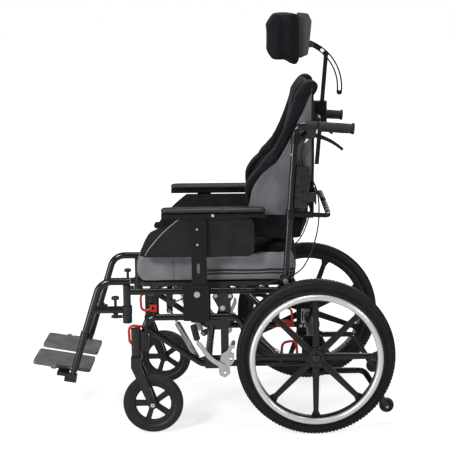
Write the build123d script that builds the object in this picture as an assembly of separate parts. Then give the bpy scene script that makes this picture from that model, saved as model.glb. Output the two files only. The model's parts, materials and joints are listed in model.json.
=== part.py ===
"""Tilt-in-space wheelchair, as separate pieces in one frame.

Millimetres. +Z is up, the chair faces -X and its right side is +Y. Every piece is drawn with X = 0 at
the rear axle and Z = 0 at the floor; export moves the origin to the middle of the footprint. Pieces of
a pair are drawn on the right side (+Y) and mirrored to the left.
"""
from build123d import *
from math import atan2, cos, degrees, hypot, pi, radians, sin, tan
import os

# ---------------------------------------------------------------- driving dimensions
fit = 0.05                      # running clearance of a pin in its hole, on the radius
soft_gap = 0.4                  # air between a soft piece and its neighbour

# rear wheels, 20 inch
wheel_radius = 262.5
wheel_track = 560.0
tyre_width = 35.0
bead_radius = 225.5
rim_depth = 22.0
spoke_count = 8
spoke_thickness = 10.0
spoke_rib = 4.0                 # how far the spoke's rib stands out of each side
hub_radius = 33.0
hub_length = 44.0
axle_radius = 6.35
axle_cap_radius = 14.0
axle_cap_height = 7.0
handrim_radius = 209.0
handrim_tube = 9.5
handrim_offset = 37.0           # from the wheel's middle plane
far_wheel_turn = 20.0           # how far the right wheel is turned at rest

# casters, 8 inch
caster_radius = 100.0
caster_tyre_depth = 28.0
caster_width = 30.0
caster_track = 495.0
caster_axle_x = -540.0
caster_stem_x = -592.0
caster_spokes = 5
fork_blade = 5.0
fork_gap = 38.0
stem_radius = 6.0
housing_radius = 16.0
housing_bottom = 267.0
housing_top = 350.0

# base frame
tube_radius = 11.0
tube_wall = 2.0
base_y = 222.0
base_rail_z = 386.0
lower_rail_z = wheel_radius - 37.5
leg_x = -564.0
post_x = -300.0
pivot_x = -306.0                # tilt pivot
pivot_z = 415.0
pivot_bolt_radius = 5.0
strut_foot_x = -389.0           # lower end of the gas struts
strut_foot_z = 213.0
strut_head_x = -485.0           # upper end of the gas struts
strut_head_z = 395.0
strut_y = 165.0
strut_pin_radius = 4.0
strut_play = 3.2                # room at the head pin for the straight-line coupling
strut_body_length = 140.0
strut_body_radius = 10.0
strut_rod_radius = 4.5

strut_tube_x = -358.0
strut_tube_radius = 13.0
strut_ear = 4.0
strut_eye_half = 3.6
axle_plate_y = 203.0
axle_plate = 8.0
axle_tube_radius = 16.0
axle_hole_x = 12.0              # spare holes for another axle height
axle_hole_z = wheel_radius - 18.5
axle_hole_spacing = 56.0
axle_hole_radius = 4.5

# anti-tippers
anti_tip_y = 207.0
anti_tip_z = wheel_radius - 73.5
anti_tip_tube = 10.0
anti_tip_wheel_x = 243.0
anti_tip_wheel_z = 66.0
anti_tip_wheel_radius = 25.0
anti_tip_wheel_width = 22.0

strut_head_half = 5.0

# seat frame
seat_y = 195.0
rear_seat_tube_x = -160.0
seat_rail_z = 467.0
seat_rail_end = -118.0
hanger_post_x = -624.0
hanger_post_radius = 12.7
hanger_post_bottom = 363.0
hanger_post_top = 489.0
pan_front = -580.0
pan_rear = -82.0
pan_half = 198.0
pan_bottom = 485.0
pan_thickness = 14.0
cushion_half = 200.0
cushion_top = 590.0

# back
hinge_x = -97.0
hinge_z = 509.0
hinge_bolt_radius = 5.0
cane_y = 225.0
cane_foot_z = 490.0
cane_top_z = 1023.0
cane_lean = 4.1                 # degrees behind upright
cane_bend = 29.0
handle_end_x = 125.0
handle_droop = 4.5              # degrees
grip_length = 114.0
grip_radius = 15.5
back_half = 200.0
back_rear_x = -4.0
back_bottom = 642.0
bolster_inner = 118.0
rear_bar_z = 730.0
rear_bar_x = 45.0
rear_bar_radius = 8.0
upper_bar_z = 1035.0
upper_bar_x = 16.0
upper_bar_radius = 9.0
upper_bar_bend = 34.0
upper_bar_low = 975.0           # where its ends meet the canes

# headrest
head_post_width = 14.0
head_post_depth = 10.0
head_post_top_z = 1240.0
head_post_length = 380.0
head_post_lean = 4.8            # degrees
head_post_gap = 18.786          # from the upper bar back to the post's axis
head_post_top_x = upper_bar_x + head_post_gap + (head_post_top_z - upper_bar_z) * tan(radians(head_post_lean))
head_bar_width = 19.0
head_bar_thickness = 5.0
head_bar_slot = 9.0
head_pivot_x = head_post_top_x - 48
head_pivot_z = head_post_top_z + 33
head_bar_tail_x = head_post_top_x + 46
head_bar_tail_z = head_post_top_z - 131
head_pivot_radius = 3.0
head_pad_half = 112.0

# armrests
arm_post_x = -379.5
arm_post_width = 49.6
arm_post_thickness = 12.0
arm_post_y = 249.0
arm_post_bottom = 392.0
arm_rail_z = 724.0
arm_rail_height = 17.0
arm_front_x = -502.0
arm_rear_x = -162.0
arm_pad_y = 243.0
arm_pad_width = 50.0
arm_pad_height = 16.0
guard_thickness = 12.0
receiver_bottom = 377.0
receiver_top = 502.0
receiver_plate_y = 236.0
receiver_plate = 6.0

# swing-away hangers
hanger_tube_radius = 12.0
hanger_top_z = 502.0
hanger_elbow_x = -711.0
hanger_foot_x = -819.0
hanger_foot_z = 160.0
hanger_end_z = 205.0
hanger_bracket_z = 406.0
extension_radius = 9.5
knob_x = -663.0
footplate_length = 195.0
footplate_width = 160.0
footplate_thickness = 12.0
footplate_toe_up = 10.0         # degrees
footplate_heel_x = -758.0
footplate_heel_z = 190.0
footplate_inner_y = 25.0
footplate_hinge_y = 173.0
footplate_pin_radius = 4.0

# wheel locks
lock_pivot_x = -wheel_radius - 45.5
lock_pivot_z = lower_rail_z - 3
lock_pin_radius = 4.0
lock_plate_y = 240.0
lock_plate = 4.0
lock_shoe_gap = 6.0             # from the unlocked shoe to the tyre
lock_shoe_radius = 6.0
lock_shoe_ahead = 16.0          # from the lever's pivot to the shoe's
lock_shoe_above = 40.0
lock_shoe_rise = 42.5           # from the shoe's pivot up to its bar
shoe_pin_radius = 3.5

# release cables
cable_radius = 2.5
hinge_cable_y = 204.0

NODES = {}


# ---------------------------------------------------------------- helpers
def slab(outline, y_from, y_to):
    """Extrude an outline, drawn as (x, z), between two Y planes."""
    return Pos(0, y_to, 0) * extrude(Plane.XZ * outline, amount=y_to - y_from)


def outline(points, corner=0.0):
    """A closed polygon in (x, z), with its corners rounded."""
    face = make_face(Polyline(*points, close=True))
    return fillet(face.vertices(), corner) if corner else face


def block(x_from, x_to, y_from, y_to, z_from, z_to):
    """A box between two corners."""
    size = (x_to - x_from, y_to - y_from, z_to - z_from)
    middle = ((x_from + x_to) / 2, (y_from + y_to) / 2, (z_from + z_to) / 2)
    return Pos(*middle) * Box(*size)


def rod_y(x, z, radius, y_from, y_to):
    """A round bar along Y."""
    return Pos(x, (y_from + y_to) / 2, z) * Rot(90, 0, 0) * Cylinder(radius, y_to - y_from)


def rod_z(x, y, radius, z_from, z_to):
    """A round bar along Z."""
    return Pos(x, y, (z_from + z_to) / 2) * Cylinder(radius, z_to - z_from)


def rod(start, end, radius):
    """A round bar between two points."""
    way = Vector(*end) - Vector(*start)
    upright = Plane(origin=start, z_dir=way)
    return upright * Cylinder(radius, way.length, align=(Align.CENTER, Align.CENTER, Align.MIN))


def bent(points, radius, bends):
    """A round bar along straight runs joined by arcs; bends is one radius or one for each corner."""
    way = FilletPolyline(*points, radius=bends)
    return sweep(Plane(origin=way @ 0, z_dir=way % 0) * Circle(radius), path=way)


def trimmed(points, length):
    """The points with both ends drawn in by a length."""
    first, second = Vector(*points[0]), Vector(*points[1])
    last, before = Vector(*points[-1]), Vector(*points[-2])
    head = first + (second - first).normalized() * length
    tail = last + (before - last).normalized() * length
    return [tuple(head)] + list(points[1:-1]) + [tuple(tail)]


def tube(points, radius, bends=None, wall=tube_wall, plug=3.0):
    """The outer solid and the bore of a tube with plugged ends."""
    inner = trimmed(points, plug)
    if bends is None:
        return rod(points[0], points[-1], radius), rod(inner[0], inner[-1], radius - wall)
    return bent(points, radius, bends), bent(inner, radius - wall, bends)


def welded(tubes, solids=()):
    """Tubes joined to each other and to solid pieces, with their bores cut out."""
    body = tubes[0][0]
    for outer, _ in tubes[1:]:
        body += outer
    for _, bore in tubes:
        body -= bore
    for solid in solids:
        body += solid
    return body


def turned(profile):
    """Turn a profile, drawn as (radius, y), about the Y axis."""
    return revolve(profile, axis=Axis.Y)


def group(*pieces):
    """Several separate solids as one node."""
    solids = [solid for piece in pieces for solid in piece.solids()]
    return Compound(children=solids)


def flipped(piece):
    """The left-hand twin of a right-hand piece."""
    return mirror(piece, about=Plane.XZ)


def both_sides(piece):
    """A right-hand piece and its left-hand twin in one node."""
    return group(piece, flipped(piece))


def pair(name, piece, left=None):
    """Keep a right-hand piece and its left-hand twin as two nodes."""
    NODES["right_" + name] = piece
    NODES["left_" + name] = flipped(piece if left is None else left)


def cane_x(z):
    """The X of the back cane's axis at a height."""
    return hinge_x + (z - hinge_z) * tan(radians(cane_lean))


def rear_tyre():
    """Tyre with rounded shoulders and tread, about the Y axis."""
    half, shoulder = tyre_width / 2, wheel_radius - 4.5
    seat, waist = tyre_width * 0.34, bead_radius + 20.0
    profile = make_face(
        Curve()
        + Line((bead_radius, seat), (bead_radius, -seat))
        + ThreePointArc((bead_radius, -seat), (waist, -half), (shoulder, -half * 0.6))
        + ThreePointArc((shoulder, -half * 0.6), (wheel_radius, 0), (shoulder, half * 0.6))
        + ThreePointArc((shoulder, half * 0.6), (waist, half), (bead_radius, seat))
    )
    return turned(profile)


def mag_wheel():
    """Rim, ribbed spokes, hub and handrim posts in one moulding, about the Y axis."""
    inner = bead_radius - rim_depth
    seat = tyre_width * 0.34
    rim = turned(make_face(Polyline(
        (bead_radius, seat), (bead_radius - 5, seat + 1.5), (inner, 8), (inner, -8),
        (bead_radius - 5, -seat - 1.5), (bead_radius, -seat), close=True)))
    hub = turned(make_face(Polyline(
        (axle_radius + fit, -hub_length / 2), (22, -hub_length / 2), (22, -9), (hub_radius, -6),
        (hub_radius, 12), (hub_radius - 6, hub_length / 2), (axle_cap_radius + 2, hub_length / 2),
        (axle_cap_radius + 2, hub_length / 2 - 3), (axle_radius + fit, hub_length / 2 - 3), close=True)))
    spoke_plan = outline([(26, -11.5), (186, -8.5), (inner + 3, -17), (inner + 3, 17), (186, 8.5),
                          (26, 11.5)])
    rib_plan = outline([(26, -4.5), (inner + 2, -3), (inner + 2, 3), (26, 4.5)])
    spoke = slab(spoke_plan, -spoke_thickness / 2, spoke_thickness / 2)
    spoke += slab(rib_plan, -spoke_thickness / 2 - spoke_rib, spoke_thickness / 2 + spoke_rib)
    post = rod_y(handrim_radius, 0, 5.5, 6, handrim_offset - handrim_tube - 3.5)
    step = 360.0 / spoke_count
    wheel = rim + hub
    for index in range(spoke_count):
        wheel += Rot(0, index * step, 0) * spoke
        wheel += Rot(0, (index + 0.5) * step, 0) * post
    return wheel


def handrim():
    """Push ring with a short foot on each handrim post, about the Y axis."""
    ring = Pos(0, handrim_offset, 0) * Rot(90, 0, 0) * Torus(handrim_radius, handrim_tube)
    foot_start = handrim_offset - handrim_tube - 3.5
    foot = rod_y(handrim_radius, 0, 5.0, foot_start, handrim_offset - handrim_tube / 2)
    for index in range(spoke_count):
        ring += Rot(0, (index + 0.5) * 360.0 / spoke_count, 0) * foot
    return ring


def build_rear_wheels():
    """Tyres, moulded wheels and handrims."""
    place = Pos(0, wheel_track / 2, wheel_radius)
    turn = Rot(0, far_wheel_turn, 0)
    pair("tyre", place * rear_tyre())
    pair("mag_wheel", place * turn * mag_wheel(), place * mag_wheel())
    pair("handrim", place * turn * handrim(), place * handrim())


# ---------------------------------------------------------------- casters
def caster_wheel():
    """Five-spoke wheel with rounded windows, about the Y axis."""
    rim_radius = caster_radius - caster_tyre_depth
    half = caster_width / 2
    disc = turned(make_face(Polyline(
        (stem_radius - 1 + fit, -half), (14, -half), (16, -7), (rim_radius - 12, -6), (rim_radius - 8, -11),
        (rim_radius, -11), (rim_radius, 11), (rim_radius - 8, 11), (rim_radius - 12, 6), (16, 7),
        (14, half), (stem_radius - 1 + fit, half), close=True)))
    reach = rim_radius - 13
    spread = 180.0 / caster_spokes - 9.0
    near = [(20 * cos(radians(a)), 20 * sin(radians(a))) for a in (-12, 12)]
    far = [(reach * cos(radians(a)), reach * sin(radians(a))) for a in (spread, 0, -spread)]
    window = make_face(Curve() + Line(near[0], near[1]) + Line(near[1], far[0])
                       + ThreePointArc(far[0], far[1], far[2]) + Line(far[2], near[0]))
    window = fillet(window.vertices(), 3.0)
    for index in range(caster_spokes):
        disc -= Rot(0, index * 360.0 / caster_spokes, 0) * slab(window, -half, half)
    return disc


def caster_tyre():
    """Solid tyre with a rounded tread, about the Y axis."""
    inner, half = caster_radius - caster_tyre_depth, caster_width / 2
    shoulder = caster_radius - 5.0
    profile = make_face(
        Curve()
        + Polyline((shoulder, half), (inner + 6, half), (inner, 11), (inner, -11), (inner + 6, -half),
                   (shoulder, -half))
        + ThreePointArc((shoulder, -half), (caster_radius, 0), (shoulder, half)))
    return turned(profile)


def caster_fork():
    """Fork blades that rake back from the crown to the axle, with the stem on top."""
    crown_top = housing_bottom - 5.0
    axle = (caster_axle_x, caster_radius)
    blade = outline([(caster_stem_x - 17, crown_top), (caster_stem_x + 17, crown_top), (caster_stem_x + 17, 232),
                     (axle[0] + 12, axle[1] + 5), (axle[0] - 12, axle[1] - 5), (caster_stem_x - 17, 228)])
    blade += Pos(*axle) * Circle(13)
    blade -= Pos(*axle) * Circle(stem_radius - 1 + 0.02)
    for drop in (45.0, 21.0):
        blade -= Pos(axle[0] - drop * 0.27, axle[1] + drop) * Circle(3)
    inner = fork_gap / 2
    fork = slab(blade, inner, inner + fork_blade) + slab(blade, -inner - fork_blade, -inner)
    crown = block(caster_stem_x - 17, caster_stem_x + 17, -inner - fork_blade, inner + fork_blade,
                  crown_top - 12, crown_top)
    fork += fillet(crown.edges().filter_by(Axis.X).group_by(Axis.Z)[-1], 5.0)
    fork += rod_z(caster_stem_x, 0, 13, crown_top, housing_bottom - 1)
    fork += rod_z(caster_stem_x, 0, stem_radius, crown_top, housing_top - 4)
    return fork


def build_casters():
    """Fork with its axle, and wheel with its tyre, of each caster."""
    out = Pos(0, caster_track / 2, 0)
    hub = Pos(caster_axle_x, caster_track / 2, caster_radius)
    blade_face = fork_gap / 2 + fork_blade
    axle = rod_y(caster_axle_x, caster_radius, stem_radius - 1, -blade_face, blade_face)
    for side in (-1, 1):
        face, tip = side * blade_face, side * (blade_face + 4.5)
        axle += rod_y(caster_axle_x, caster_radius, 8.0, min(face, tip), max(face, tip))
    pair("caster_fork", out * group(caster_fork(), axle))
    pair("caster_wheel", hub * group(caster_wheel(), caster_tyre()))


def stem_bearings():
    """Upper and lower bearing of the caster stem."""
    y, outer = caster_track / 2, housing_radius - 3
    low = rod_z(caster_stem_x, y, outer, housing_bottom + 1, housing_bottom + 10)
    high = rod_z(caster_stem_x, y, outer, housing_top - 14, housing_top - 5)
    bore = rod_z(caster_stem_x, y, stem_radius + fit, housing_bottom, housing_top)
    return group(low - bore, high - bore)


# ---------------------------------------------------------------- base
def base_frame():
    """Side frame: bent top rail, raked lower rail, post, caster housing and tilt lug."""
    y, r = base_y, tube_radius
    top = tube([(leg_x, y, housing_bottom + 4), (leg_x, y, base_rail_z), (-262, y, base_rail_z),
                (-110, y, lower_rail_z + 3)], r, [38, 60])
    low = tube([(leg_x + 3, y, 352), (-377, y, lower_rail_z), (44, y, lower_rail_z)], r, 40)
    post = (block(post_x - 13, post_x + 13, y - r + 1, y + r - 1, lower_rail_z, base_rail_z),
            block(post_x - 11, post_x + 11, y - r + 3, y + r - 3, lower_rail_z, base_rail_z))
    stem_y = caster_track / 2
    housing = rod_z(caster_stem_x, stem_y, housing_radius, housing_bottom, housing_top + 6)
    web = block(caster_stem_x, leg_x, y - 3, stem_y, housing_bottom + 12, housing_top - 6)
    lug = outline([(pivot_x - 22, base_rail_z), (pivot_x - 11, pivot_z + 7), (pivot_x + 11, pivot_z + 7),
                   (pivot_x + 22, base_rail_z)])
    lug += Pos(pivot_x, pivot_z) * Circle(13)
    lug -= Pos(pivot_x, pivot_z) * Circle(pivot_bolt_radius + 0.02)
    lug_solid = slab(lug, y - r - 6, y - r + 2)
    clamp = block(lock_pivot_x - 58, lock_pivot_x - 4, y - r, y + r, lock_pivot_z - 11, lock_pivot_z + 28)
    saddle = block(-44, 20, y - r, y, lower_rail_z - 9, lower_rail_z + 9)
    stop = block(-366, post_x, y - r + 2, y + r - 2, base_rail_z - 31, base_rail_z - 8)
    frame = welded([top, low, post], [web, housing, lug_solid, clamp, saddle, stop])
    frame -= rod_z(caster_stem_x, stem_y, housing_radius - 3, housing_bottom, housing_top - 3)
    return frame


def axle_upright():
    """Rear upright with slots for the axle height, and the anti-tipper's receiver tube."""
    low, high = wheel_radius - 60.5, wheel_radius + 49.5
    plate = outline([(-43, low), (18, low), (24, wheel_radius - 22.5), (24, high), (-36, high),
                     (-43, high - 16)], 6)
    plate -= Pos(0, wheel_radius) * Circle(11.02)
    for height in (axle_hole_z, axle_hole_z + axle_hole_spacing):
        plate -= Pos(axle_hole_x, height) * Circle(axle_hole_radius)
    solid = slab(plate, axle_plate_y, axle_plate_y + axle_plate)
    receiver = rod((-40, anti_tip_y, anti_tip_z), (52, anti_tip_y, anti_tip_z), anti_tip_tube + 3.5)
    bore = rod((-36, anti_tip_y, anti_tip_z), (52, anti_tip_y, anti_tip_z), anti_tip_tube + fit)
    return solid + receiver - bore


def tie_down(front):
    """Red loop of round bar with a square-holed foot, beside the frame tube."""
    y = base_y - tube_radius - 4.6
    if front:
        loop = bent([(-576, y, 296), (-618, y, 284), (-620, y, 356), (-572, y, 350)], 4.5, [17, 17])
        foot_x, foot_z = -574, 298
    else:
        loop = bent([(-112, y, 238), (-108, y, 288), (-62, y, 297), (-58, y, 242)], 4.5, [19, 19])
        foot_x, foot_z = -86, lower_rail_z + 8
        loop += block(-118, -52, y - 2, y + 4.5, lower_rail_z - 6, lower_rail_z + 17)
    foot = block(foot_x - 13, foot_x + 13, y - 2, y + 4.5, foot_z - 13, foot_z + 13)
    hole = block(foot_x - 5, foot_x + 5, y - 5, y + 6, foot_z - 5, foot_z + 5)
    return loop + foot - hole


def strut_cross_tube():
    """Lower cross tube with a pair of ears for each gas strut."""
    half = base_y - tube_radius + 2
    body = rod_y(strut_tube_x, lower_rail_z, strut_tube_radius, -half, half)
    ear = outline([(strut_foot_x - 9, strut_foot_z - 2), (strut_foot_x + 2, strut_foot_z - 11),
                   (strut_tube_x, lower_rail_z - 9), (strut_tube_x, lower_rail_z + 9),
                   (strut_foot_x - 4, strut_foot_z + 9)], 3)
    ear -= Pos(strut_foot_x, strut_foot_z) * Circle(strut_pin_radius + 0.02)
    for side in (-1, 1):
        for gap in (-strut_eye_half - strut_ear - 0.4, strut_eye_half + 0.4):
            body += slab(ear, side * strut_y + gap, side * strut_y + gap + strut_ear)
    return body - rod_y(strut_tube_x, lower_rail_z, strut_tube_radius - 2.5, -half + 4, half - 4)


def axle_sleeve():
    """Flanged sleeve that carries the wheel's axle through the axle plate."""
    end = wheel_track / 2 - hub_length / 2 - 0.5
    sleeve = rod_y(0, wheel_radius, 11, 150, end)
    sleeve += rod_y(0, wheel_radius, 15, axle_plate_y + axle_plate, axle_plate_y + axle_plate + 8)
    return sleeve - rod_y(0, wheel_radius, axle_radius + fit, 150, end)


def axle_clamp():
    """Bright clamp block round the axle tube, with a slot in its face."""
    clamp = slab(outline([(-26, 236), (5, 236), (5, 291), (-26, 291)], 3), axle_plate_y - 6, axle_plate_y)
    clamp -= rod_y(0, wheel_radius, axle_tube_radius + 0.02, 190, 210)
    return clamp - block(-23, -18, 196, 204, 245, 281)


def wheel_axle():
    """Axle with a plain domed cap."""
    seat = wheel_track / 2 + hub_length / 2 - 3 + 0.2
    axle = rod_y(0, wheel_radius, axle_radius, wheel_track / 2 - 118, seat)
    cap = rod_y(0, wheel_radius, axle_cap_radius, seat, seat + axle_cap_height)
    return axle + fillet(cap.edges().sort_by(Axis.Y)[-1], axle_cap_height - 1)


def build_base():
    """Everything that stays with the base frame."""
    side = base_frame()
    NODES["base_frame"] = side + flipped(side) + strut_cross_tube()
    NODES["axle_plates"] = both_sides(axle_upright())
    tube_end = axle_plate_y
    cross = rod_y(0, wheel_radius, axle_tube_radius, -tube_end, tube_end)
    cross -= rod_y(0, wheel_radius, 11.02, -tube_end, tube_end)
    NODES["axle_cross_tube"] = cross
    NODES["axle_fittings"] = both_sides(group(wheel_axle(), axle_sleeve(), axle_clamp()))
    inner, outer = base_y - tube_radius - 6, base_y - 3
    pivot = rod_y(pivot_x, pivot_z, pivot_bolt_radius, inner - 3, outer)
    pivot += rod_y(pivot_x, pivot_z, 8.0, inner - 6, inner)
    pivot += rod_y(pivot_x, pivot_z, 8.5, outer + 0.2, outer + 4.5)
    pivot += rod_y(pivot_x, pivot_z, pivot_bolt_radius, outer, outer + 0.2)
    pin = rod_y(strut_foot_x, strut_foot_z, strut_pin_radius, strut_y - 9, strut_y + 9)
    pin += rod_y(strut_foot_x, strut_foot_z, 7, strut_y + 8.2, strut_y + 11)
    bolt = rod_y(-27, lower_rail_z, 6.5, axle_plate_y - 4, axle_plate_y)
    bolts = [Pos(step, 0, 0) * bolt for step in (0, 18)]
    NODES["base_bolts_and_bearings"] = both_sides(group(pivot, pin, stem_bearings(), *bolts))
    NODES["tie_down_loops"] = both_sides(group(tie_down(True), tie_down(False)))


# ---------------------------------------------------------------- wheel locks
def from_lock(*spots):
    """Points (x, z) given from the wheel lock's pivot."""
    return [(lock_pivot_x + x, lock_pivot_z + z) for x, z in spots]


def build_wheel_locks():
    """Stamped bracket, tyre shoe and hand lever on each side."""
    y = lock_plate_y
    plate = outline(from_lock((-14, -14), (-4, 40), (18, 54), (40, 42), (38, 14), (24, 0), (26, -26),
                              (8, -40), (-10, -32)), 5)
    for spot, radius in (((28, 23), 5), ((8, -24), 4)):
        plate -= Pos(*from_lock(spot)[0]) * Circle(radius)
    bracket = slab(plate, y, y + lock_plate)
    bracket += block(lock_pivot_x - 14, lock_pivot_x + 4, base_y + tube_radius, y, lock_pivot_z - 8,
                     lock_pivot_z + 18)
    shoe_x, shoe_z = lock_pivot_x + lock_shoe_ahead, lock_pivot_z + lock_shoe_above
    bracket += rod_y(lock_pivot_x, lock_pivot_z, lock_pin_radius, y, y + 11)
    bracket += rod_y(shoe_x, shoe_z, shoe_pin_radius, y, y + 9)
    NODES["wheel_lock_brackets"] = both_sides(bracket)

    reach = wheel_radius + lock_shoe_gap + lock_shoe_radius
    bar_z = shoe_z + lock_shoe_rise
    bar_x = -(reach ** 2 - (bar_z - wheel_radius) ** 2) ** 0.5
    arm = outline([(shoe_x - 8, shoe_z - 5), (shoe_x + 4, shoe_z - 8), (bar_x + 7, bar_z - 2),
                   (bar_x + 4, bar_z + 8), (bar_x - 6, bar_z + 5)], 3)
    arm -= Pos(shoe_x, shoe_z) * Circle(shoe_pin_radius + fit)
    shoe = slab(arm, y + lock_plate + 0.3, y + lock_plate + 4.3)
    shoe += rod_y(bar_x, bar_z, lock_shoe_radius, y + lock_plate + 4, wheel_track / 2 + tyre_width / 2)
    pair("wheel_lock_shoe", shoe)

    turn_a, turn_b, grip_foot, grip_low, grip_top = from_lock((-38, 28), (-64, 62), (-80, 82), (-82.5, 92),
                                                              (-94, 140))
    path = Curve() + ThreePointArc((lock_pivot_x - 4, lock_pivot_z + 5), turn_a, turn_b)
    path += Line(turn_b, grip_foot)
    mid_y = y + lock_plate + 3.6
    ribbon = sweep(Plane(origin=(lock_pivot_x - 4, mid_y, lock_pivot_z + 5),
                         x_dir=(0, 1, 0), z_dir=Plane.XZ.from_local_coords(path % 0) - Vector(0, 0, 0))
                   * Rectangle(6, 15), path=Pos(0, mid_y, 0) * (Plane.XZ * path))
    lever = ribbon + rod_y(lock_pivot_x, lock_pivot_z, 10, mid_y - 3, mid_y + 3)
    lever -= rod_y(lock_pivot_x, lock_pivot_z, lock_pin_radius + fit, mid_y - 5, mid_y + 5)
    stem = rod((grip_foot[0], mid_y, grip_foot[1]), (grip_top[0], mid_y, grip_top[1]), 4.5)
    grip_start = (grip_low[0], mid_y, grip_low[1])
    grip = rod(grip_start, (grip_top[0] - 1, mid_y, grip_top[1] + 4), 11)
    grip = fillet(grip.edges(), 4)
    grip -= rod(grip_start, (grip_top[0], mid_y, grip_top[1]), 4.52)
    pair("wheel_lock_lever", group(lever + stem, grip))


# ---------------------------------------------------------------- anti-tippers
def build_anti_tippers():
    """Bent tube that turns in its receiver, with a small roller in a fork."""
    y, z = anti_tip_y, anti_tip_z
    end = (anti_tip_wheel_x, y, anti_tip_wheel_z)
    elbow = (165.0, y, z)
    way = Vector(*end) - Vector(*elbow)
    stop = Vector(*end) - way.normalized() * (anti_tip_wheel_radius + 6)
    arm = bent([(-30, y, z), elbow, tuple(stop)], anti_tip_tube, 34)
    cheek_gap = anti_tip_wheel_width / 2 + 1.5
    arm += Plane(origin=tuple(stop), x_dir=(0, 1, 0), z_dir=way) * Box(2 * cheek_gap + 8, 20, 8)
    along = Plane(origin=(end[0], y, end[2]), x_dir=(0, 1, 0), z_dir=way)
    for side in (-1, 1):
        cheek = Box(4, 18, anti_tip_wheel_radius + 9, align=(Align.CENTER, Align.CENTER, Align.MAX))
        arm += along * Pos(side * (cheek_gap + 2), 0, 0) * cheek
        arm += rod_y(end[0], end[2], 9, y + side * (cheek_gap + 2) - 2, y + side * (cheek_gap + 2) + 2)
    arm += rod_y(end[0], end[2], 4, y - cheek_gap - 7, y + cheek_gap + 7)
    pair("anti_tip_arm", arm)
    half = anti_tip_wheel_width / 2
    roller = turned(make_face(
        Curve() + Polyline((anti_tip_wheel_radius - 3, -half), (4 + fit, -half), (4 + fit, half),
                           (anti_tip_wheel_radius - 3, half))
        + ThreePointArc((anti_tip_wheel_radius - 3, half), (anti_tip_wheel_radius, 0),
                        (anti_tip_wheel_radius - 3, -half))))
    pair("anti_tip_wheel", Pos(end[0], y, end[2]) * roller)


# ---------------------------------------------------------------- gas struts
def build_struts():
    """Gas struts of the tilt: body on the base, rod to the seat frame."""
    foot = Vector(strut_foot_x, strut_y, strut_foot_z)
    head = Vector(strut_head_x, strut_y, strut_head_z)
    way = (head - foot).normalized()

    def along(distance):
        return tuple(foot + way * distance)

    length = (head - foot).length
    top = 14 + strut_body_length
    body = rod(along(14), along(top), strut_body_radius)
    body = fillet(body.edges(), 2.0)
    body += rod(along(4), along(16), strut_eye_half - 0.6)
    body += rod_y(strut_foot_x, strut_foot_z, 9, strut_y - strut_eye_half, strut_y + strut_eye_half)
    body -= rod_y(strut_foot_x, strut_foot_z, strut_pin_radius + fit, strut_y - 5, strut_y + 5)
    body -= rod(along(19), along(top + 1), strut_rod_radius + fit)
    NODES["gas_strut_bodies"] = both_sides(body)
    eye = strut_pin_radius + strut_play
    rod_piece = rod(along(21), along(length - eye - 1), strut_rod_radius)
    rod_piece += rod_y(strut_head_x, strut_head_z, eye + 4, strut_y - strut_head_half,
                       strut_y + strut_head_half)
    rod_piece -= rod_y(strut_head_x, strut_head_z, eye, strut_y - 6, strut_y + 6)
    NODES["gas_strut_rods"] = both_sides(rod_piece)


# ---------------------------------------------------------------- seat frame
def seat_frame():
    """Side rail with the hanger post, tilt bracket, pan saddles and back hinge fork."""
    y, r = seat_y, tube_radius
    rail = tube([(hanger_post_x, y, seat_rail_z), (seat_rail_end, y, seat_rail_z)], r)
    post = rod_z(hanger_post_x, y, hanger_post_radius, hanger_post_bottom, hanger_post_top)
    collar = rod_z(hanger_post_x, y, hanger_post_radius + 3, hanger_post_bottom - 1, hanger_bracket_z - 16)
    corners = [(-329.0, 456.0), (-281.0, 455.0)]
    bracket = outline([(-340, 452), (-334, 466), (-276, 466), (-269, 452), (pivot_x + 12, pivot_z - 4),
                       (pivot_x - 12, pivot_z - 4)], 4)
    bracket += Pos(pivot_x, pivot_z) * Circle(12)
    bracket -= Pos(pivot_x, pivot_z) * Circle(pivot_bolt_radius + fit)
    plate = slab(bracket, base_y - tube_radius + 2.3, base_y - 3)
    bosses = [rod_y(x, z, 7.5, y + 6, base_y - tube_radius + 2.3) for x, z in corners]
    bridge = block(arm_post_x - 30, arm_post_x + 34, y + r - 4, receiver_plate_y, 474, 500)
    saddles = [block(x - 11, x + 11, y - 11, y + 2, seat_rail_z + 6, pan_bottom)
               for x in (-536, -448, -301, -236)]
    web = block(hinge_x - 26, hinge_x + 22, y - r, cane_y + tube_radius + 7, 470, 480)
    side = outline([(hinge_x - 26, 470), (hinge_x - 17, 519), (hinge_x - 6, 527), (hinge_x + 10, 527),
                    (hinge_x + 18, 515), (hinge_x + 22, 470)], 3)
    side -= Pos(hinge_x, hinge_z) * Circle(hinge_bolt_radius + 0.02)
    ears = [slab(side, cane_y - tube_radius - 7, cane_y - tube_radius - 1),
            slab(side, cane_y + tube_radius + 1, cane_y + tube_radius + 7)]
    frame = welded([rail], [post, collar, plate, bridge, web] + bosses + saddles + ears)
    frame -= rod_z(hanger_post_x, y, 6 + fit, hanger_post_top - 28, hanger_post_top + 1)
    return frame


def arm_receiver():
    """Side plate with the flat socket that holds the armrest post."""
    x, half = arm_post_x, arm_post_width / 2
    plate = outline([(x - 55, receiver_bottom), (x + 35, receiver_bottom), (x + 35, receiver_top),
                     (x - 55, receiver_top)], 4)
    y0 = receiver_plate_y + receiver_plate
    socket_out = arm_post_y + arm_post_thickness / 2 + 4
    solid = slab(plate, receiver_plate_y, y0)
    solid += block(x - half - 5, x + half + 5, y0 - 1, socket_out, receiver_bottom, receiver_top)
    solid -= block(x - half - fit, x + half + fit, arm_post_y - arm_post_thickness / 2 - fit,
                   arm_post_y + arm_post_thickness / 2 + fit, receiver_bottom + 5, receiver_top + 1)
    solid -= rod_y(x - 8.5, 472, 5.02, arm_post_y, socket_out + 1)
    return solid


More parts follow.
